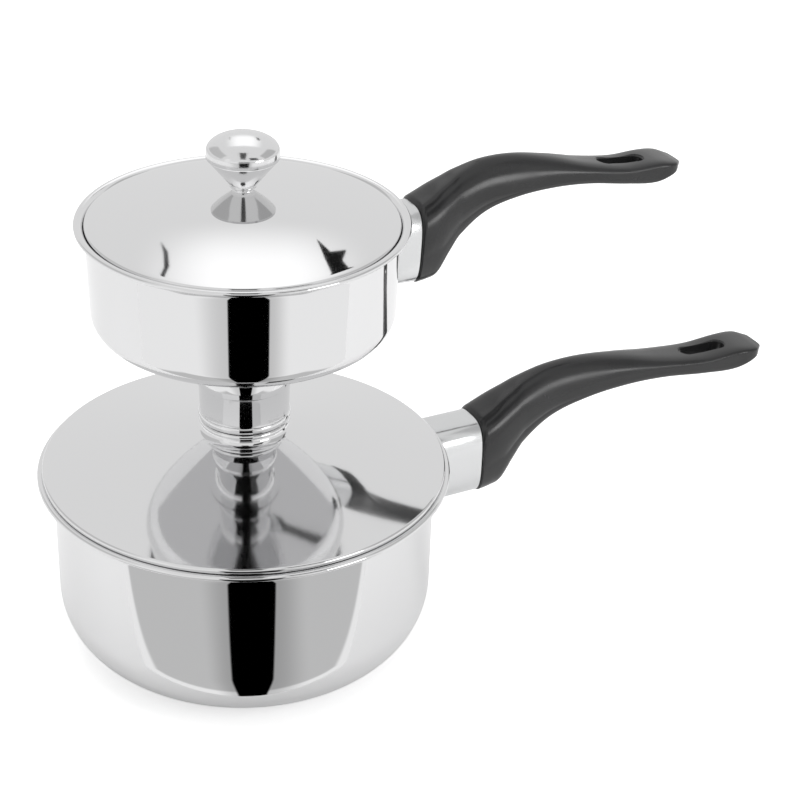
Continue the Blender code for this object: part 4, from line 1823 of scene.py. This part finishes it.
@dataclass(frozen=True)
class Studio:
    """Floor, lamps, world, reflecting panels and camera."""

    camera_place: Place = (-0.3447, -0.7741, 0.6060)
    camera_azimuth_deg: float = 28.99
    camera_pitch_deg: float = 29.334
    camera_roll_deg: float = 2.08
    camera_lens: float = 92.07
    camera_sensor: float = 36.0
    floor_radius: float = 8.0
    floor_facets: int = 64
    floor_z: float = -0.0002
    floor_colour: float = 0.80
    floor_roughness: float = 0.9
    floor_glow: float = 0.50
    floor_gloss: float = 0.11
    world_level: float = 0.78
    crown_shift: float = 0.012
    crown_core: float = 0.03
    crown_reach: float = 0.13
    crown_fade: float = 0.24
    strip_rise: float = 0.25
    strip_fade: float = 0.55
    card_start: float = 0.102
    card_start_blur: float = 0.002
    card_end: float = 0.245
    card_end_blur: float = 0.012
    card_reach: float = 0.19
    card_fade: float = 1.3
    card_shade: float = 0.61
    gap_blur: float = 0.010
    flanks: tuple[Flank, ...] = (
        Flank(0.0180, -0.237, way=-1.0, bend=2.0, shade=0.70, reach=1.5),
        Flank(-0.0224, 0.364, way=1.0, bend=1.0, shade=0.66, reach=0.33),
    )
    panels: tuple[Panel, ...] = (
        Panel("table_card", 1.0, board(-1.30, 1.30, 0.095, 1.50, 0.0010), Glow.TABLE),
        Panel("gap_front", 0.35, wall((GAP_LEFT, 1.49), (GAP_RIGHT, 1.49), 0.0012, 0.55), later=0.0),
        Panel("gap_upper", SKY_LEVEL, wall((-1.25, 1.48), (1.45, 1.48), 0.55, 2.40), later=0.0, later_from=3),
        Panel("skirt_gap_front", 0.20, (
            (-0.24, 1.46, 1.50), (0.26, 1.46, 1.50), (0.30, 1.46, 2.31), (-0.28, 1.46, 2.31),
        ), later=0.0),
        Panel("skirt_gap_ceiling", 0.08, (
            (-0.28, 1.60, 2.31), (0.30, 1.60, 2.31), (0.24, 0.05, 2.31), (-0.22, 0.05, 2.31),
        ), later=0.0),
        Panel("lid_mark_right", 0.01, (
            (0.078, -0.455, 0.499), (0.090, -0.405, 0.499), (0.108, -0.42, 0.499), (0.101, -0.375, 0.499),
            (0.107, -0.345, 0.499), (0.118, -0.335, 0.499), (0.090, -0.295, 0.499), (0.083, -0.37, 0.499),
        )),
        Panel("lid_mark_left", 0.02, (
            (-0.088, -0.450, 0.499), (-0.078, -0.400, 0.499), (-0.074, -0.345, 0.499),
            (-0.079, -0.295, 0.499), (-0.083, -0.298, 0.499), (-0.079, -0.345, 0.499),
            (-0.082, -0.395, 0.499),
        )),
        Panel("front_left", 0.95, wall((-2.20, 1.50), (GAP_LEFT, 1.50), 0.0, 1.60)),
        Panel("front_right", 0.70, wall((GAP_RIGHT, 1.50), (2.60, 1.50), 0.0, 1.10)),
        Panel("dark_flag", 0.10, wall((0.65, 1.47), (1.75, 1.47), 1.10, 2.30)),
        Panel("low_strip", 5.5, wall((1.02, 1.20), (1.52, 0.82), 0.01, 0.56), Glow.STRIP, later=SKY_LEVEL),
        Panel("side_flag_left", 0.60, wall((-1.50, 0.60), (-1.50, -1.60), 0.60, 2.10), later=SKY_LEVEL),
        Panel("side_flag_right", 0.54, wall((1.60, 0.60), (1.60, -1.10), 0.60, 2.10), later=SKY_LEVEL),
        Panel("crown_box", 1.30, board(-0.15, 0.17, -0.56, -0.12, 0.50), Glow.CROWN),
    )
    lamps: tuple[Lamp, ...] = (
        Lamp("overhead_lamp", (0.0, -0.2, 1.5), size=1.4, power=9.0),
        Lamp("side_lamp", (1.3, 0.8, 0.9), size=0.9, power=6.0),
    )
    lamp_target: Place = (0.05, 0.0, 0.1)

    def build(self) -> None:
        """Builds everything round the steamer."""
        self.light_world()
        self.lay_floor()
        for panel in self.panels:
            self.hang_panel(panel)
        for lamp in self.lamps:
            self.hang_lamp(lamp)
        self.place_camera()
        bpy.context.scene.view_settings.view_transform = "Standard"

    @property
    def sides(self) -> tuple[Vector, Vector]:
        """Level directions to the right, as the camera sees it, and towards the camera.

        Returns:
            Two unit vectors.
        """
        front = Vector((self.camera_place[0], self.camera_place[1], 0.0)).normalized()
        return Vector((-front.y, front.x, 0.0)), front

    def spot(self, place: Place) -> Vector:
        """Finds a place that is given to the right, towards the camera, and up.

        Args:
            place: The three distances.

        Returns:
            The point in the frame.
        """
        right, front = self.sides
        return right * place[0] + front * place[1] + Vector((0.0, 0.0, place[2]))

    def light_world(self) -> None:
        """Makes the world: white to the camera, and an even pale gray as light and to gloss."""
        world = bpy.data.worlds.new("Studio")
        bpy.context.scene.world = world
        world.use_nodes = True
        sketch = NodeSketch(world.node_tree)
        path = sketch.add("LightPath")
        background = world.node_tree.nodes["Background"]
        background.inputs["Color"].default_value = WHITE
        level = sketch.mixed(path.outputs["Is Glossy Ray"], self.world_level, SKY_LEVEL)
        sketch.feed(background.inputs["Strength"], sketch.mixed(path.outputs["Is Camera Ray"], level, 1.0))

    def lay_floor(self) -> None:
        """Lays a round pale floor that keeps the steamer's shadow."""
        shape = bmesh.new()
        bmesh.ops.create_circle(shape, cap_ends=True, segments=self.floor_facets, radius=self.floor_radius)
        floor = Workshop.bare("floor", moved(shape, Matrix.Translation((0.0, 0.0, self.floor_z))))
        material, sketch, shader = new_material("Pale floor")
        shade = self.floor_colour
        shader.inputs["Base Color"].default_value = (shade, shade, shade, 1.0)
        shader.inputs["Roughness"].default_value = self.floor_roughness
        shader.inputs["Emission Color"].default_value = WHITE
        path = sketch.add("LightPath")
        gloss = sketch.times(path.outputs["Is Glossy Ray"], self.floor_gloss)
        glow = sketch.mixed(path.outputs["Is Camera Ray"], gloss, self.floor_glow)
        sketch.feed(shader.inputs["Emission Strength"], glow)
        floor.data.materials.append(material)

    def table_glow(self, sketch: NodeSketch) -> Socket:
        """Brightness of the table in front: white, a gray card, and a dark gap that widens forwards.

        Args:
            sketch: The panel's sketch.

        Returns:
            The level.
        """
        right, front = self.sides
        place = sketch.place()
        across, ahead = sketch.dot(place, right), sketch.dot(place, front)
        side = sketch.math("ABSOLUTE", across)
        beside = sketch.ranged(side, self.card_reach, self.card_reach * self.card_fade, 1.0, 0.0)
        end, blur = self.card_end, self.card_end_blur
        near = sketch.ranged(ahead, end - blur, end + blur, 1.0, 0.0)
        start, blur = self.card_start, self.card_start_blur
        begun = sketch.ranged(ahead, start - blur, start + blur, 0.0, 1.0)
        card = sketch.times(beside, near, begun)
        flanks = []
        for flank in self.flanks:
            edge = sketch.math("MULTIPLY_ADD", ahead, flank.slope, flank.start)
            past = sketch.times(sketch.math("SUBTRACT", across, edge), flank.way)
            share = sketch.math("DIVIDE", past, sketch.math("POWER", ahead, flank.bend))
            ramp = sketch.ranged(share, 0.0, flank.reach, flank.shade, 1.0)
            beyond = sketch.math("DIVIDE", past, ahead)
            outside = sketch.ranged(beyond, -self.gap_blur, self.gap_blur, 0.0, 1.0)
            flanks.append(sketch.times(ramp, outside))
        shaded = sketch.math("MULTIPLY_ADD", card, self.card_shade - 1.0, 1.0)
        return sketch.times(shaded, sketch.math("MAXIMUM", *flanks))

    def strip_glow(self, sketch: NodeSketch, panel: Panel) -> Socket:
        """Brightness of a strip that fades towards its upper and lower edge.

        Args:
            sketch: The panel's sketch.
            panel: The panel.

        Returns:
            The level.
        """
        low, high = panel.corners[0][2], panel.corners[2][2]
        up = sketch.dot(sketch.place(), Vector((0.0, 0.0, 1.0)))
        rise = sketch.ranged(up, low, low + (high - low) * self.strip_rise, 0.0, panel.level)
        return sketch.times(rise, sketch.ranged(up, low + (high - low) * self.strip_fade, high, 1.0, 0.0))

    def crown_glow(self, sketch: NodeSketch, panel: Panel) -> Socket:
        """Brightness of the soft box over the lid, which fades into the sky behind it.

        Args:
            sketch: The panel's sketch.
            panel: The panel.

        Returns:
            The level.
        """
        right, front = self.sides
        place = sketch.place()
        across = sketch.math("ABSOLUTE", sketch.math("SUBTRACT", sketch.dot(place, right), self.crown_shift))
        wide = sketch.ranged(across, self.crown_core, self.crown_reach, 1.0, 0.0)
        back = panel.corners[0][1]
        deep = sketch.ranged(sketch.dot(place, front), back, back + self.crown_fade, 0.0, 1.0)
        return sketch.math("ADD", sketch.times(wide, deep, panel.level - SKY_LEVEL), SKY_LEVEL)

    def panel_level(self, sketch: NodeSketch, panel: Panel) -> Socket | float:
        """Brightness of a panel, for first and for later reflections.

        Args:
            sketch: The panel's sketch.
            panel: The panel.

        Returns:
            The level.
        """
        level = panel.level
        if panel.glow is Glow.TABLE:
            level = self.table_glow(sketch)
        elif panel.glow is Glow.STRIP:
            level = self.strip_glow(sketch, panel)
        elif panel.glow is Glow.CROWN:
            level = self.crown_glow(sketch, panel)
        if panel.later is None:
            return level
        depth = sketch.add("LightPath").outputs["Ray Depth"]
        return sketch.mixed(sketch.math("LESS_THAN", depth, panel.later_from - 0.5), panel.later, level)

    def hang_panel(self, panel: Panel) -> None:
        """Hangs a panel that gives polished steel something to reflect.

        Args:
            panel: The panel.
        """
        shape = bmesh.new()
        shape.faces.new([shape.verts.new(self.spot(corner)) for corner in panel.corners])
        card = Workshop.bare(panel.name, shape)
        material, sketch, shader = new_material(panel.name)
        sketch.tree.nodes.remove(shader)
        glow = sketch.add("Emission")
        sketch.feed(glow.inputs["Strength"], self.panel_level(sketch, panel))
        sketch.feed(sketch.tree.nodes["Material Output"].inputs["Surface"], glow.outputs[0])
        card.data.materials.append(material)
        card.visible_camera = False
        card.visible_diffuse = False
        card.visible_shadow = False

    def hang_lamp(self, lamp: Lamp) -> None:
        """Hangs a soft lamp that lights the floor and the handles.

        Args:
            lamp: The lamp.
        """
        light = bpy.data.lights.new(lamp.name, "AREA")
        light.shape = "DISK"
        light.size = lamp.size
        light.energy = lamp.power
        stand = bpy.data.objects.new(lamp.name, light)
        stand.location = self.spot(lamp.place)
        stand.rotation_mode = "QUATERNION"
        stand.rotation_quaternion = (stand.location - Vector(self.lamp_target)).to_track_quat("Z", "Y")
        stand.visible_camera = False
        stand.visible_glossy = False
        bpy.context.scene.collection.objects.link(stand)

    def place_camera(self) -> None:
        """Sets up the camera at the photograph's place."""
        azimuth, pitch, roll = (
            math.radians(angle)
            for angle in (self.camera_azimuth_deg, self.camera_pitch_deg, self.camera_roll_deg)
        )
        ahead = Vector((
            math.sin(azimuth) * math.cos(pitch), math.cos(azimuth) * math.cos(pitch), -math.sin(pitch)
        ))
        level = Vector((math.cos(azimuth), -math.sin(azimuth), 0.0))
        upright = level.cross(ahead)
        right = level * math.cos(roll) + upright * math.sin(roll)
        up = upright * math.cos(roll) - level * math.sin(roll)
        data = bpy.data.cameras.new("camera")
        data.lens = self.camera_lens
        data.sensor_width = self.camera_sensor
        camera = bpy.data.objects.new("camera", data)
        turn = Matrix((right, up, -ahead)).transposed().to_4x4()
        camera.matrix_world = Matrix.Translation(self.camera_place) @ turn
        bpy.context.scene.collection.objects.link(camera)
        bpy.context.scene.camera = camera


def main() -> None:
    """Builds the steamer and its studio."""
    logging.basicConfig(level=logging.INFO)
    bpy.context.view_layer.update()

    workshop = Workshop()
    funnel = SteamFunnel(POT)
    collar = Collar(funnel.bead_top + SEAT_GAP, funnel.neck_radius)
    pan = Vessel(
        sheet=0.0008, body_radius=0.0715, draft_deg=1.7, corner_radius=0.0091, height=0.0521,
        lip_width=0.0048, lip_height=0.0060, curl_radius=0.0012, floor_hole=0.0185,
        base_z=collar.bottom_z + collar.height + SEAT_GAP,
    )
    lid = Lid(pan)
    pot_grip = Grip(
        "lower", POT, Body.POT, length=0.1763, scale=1.0, ferrule_length=0.0343, ferrule_clearance=0.0004,
        tilt_deg=0.0, engagement=0.0100,
    )
    pan_grip = Grip(
        "upper", pan, Body.PAN, length=0.1486, scale=0.935, ferrule_length=0.0149, ferrule_clearance=0.0051,
        tilt_deg=-2.2, engagement=0.0040,
    )
    assemblies = (
        LowerPot(POT, pot_grip), funnel, UpperPan(pan, collar, pan_grip), Sieve(pan), lid, Knob(lid),
    )
    for assembly in assemblies:
        assembly.build(workshop)
    Studio().build()


if __name__ == "__main__":
    main()
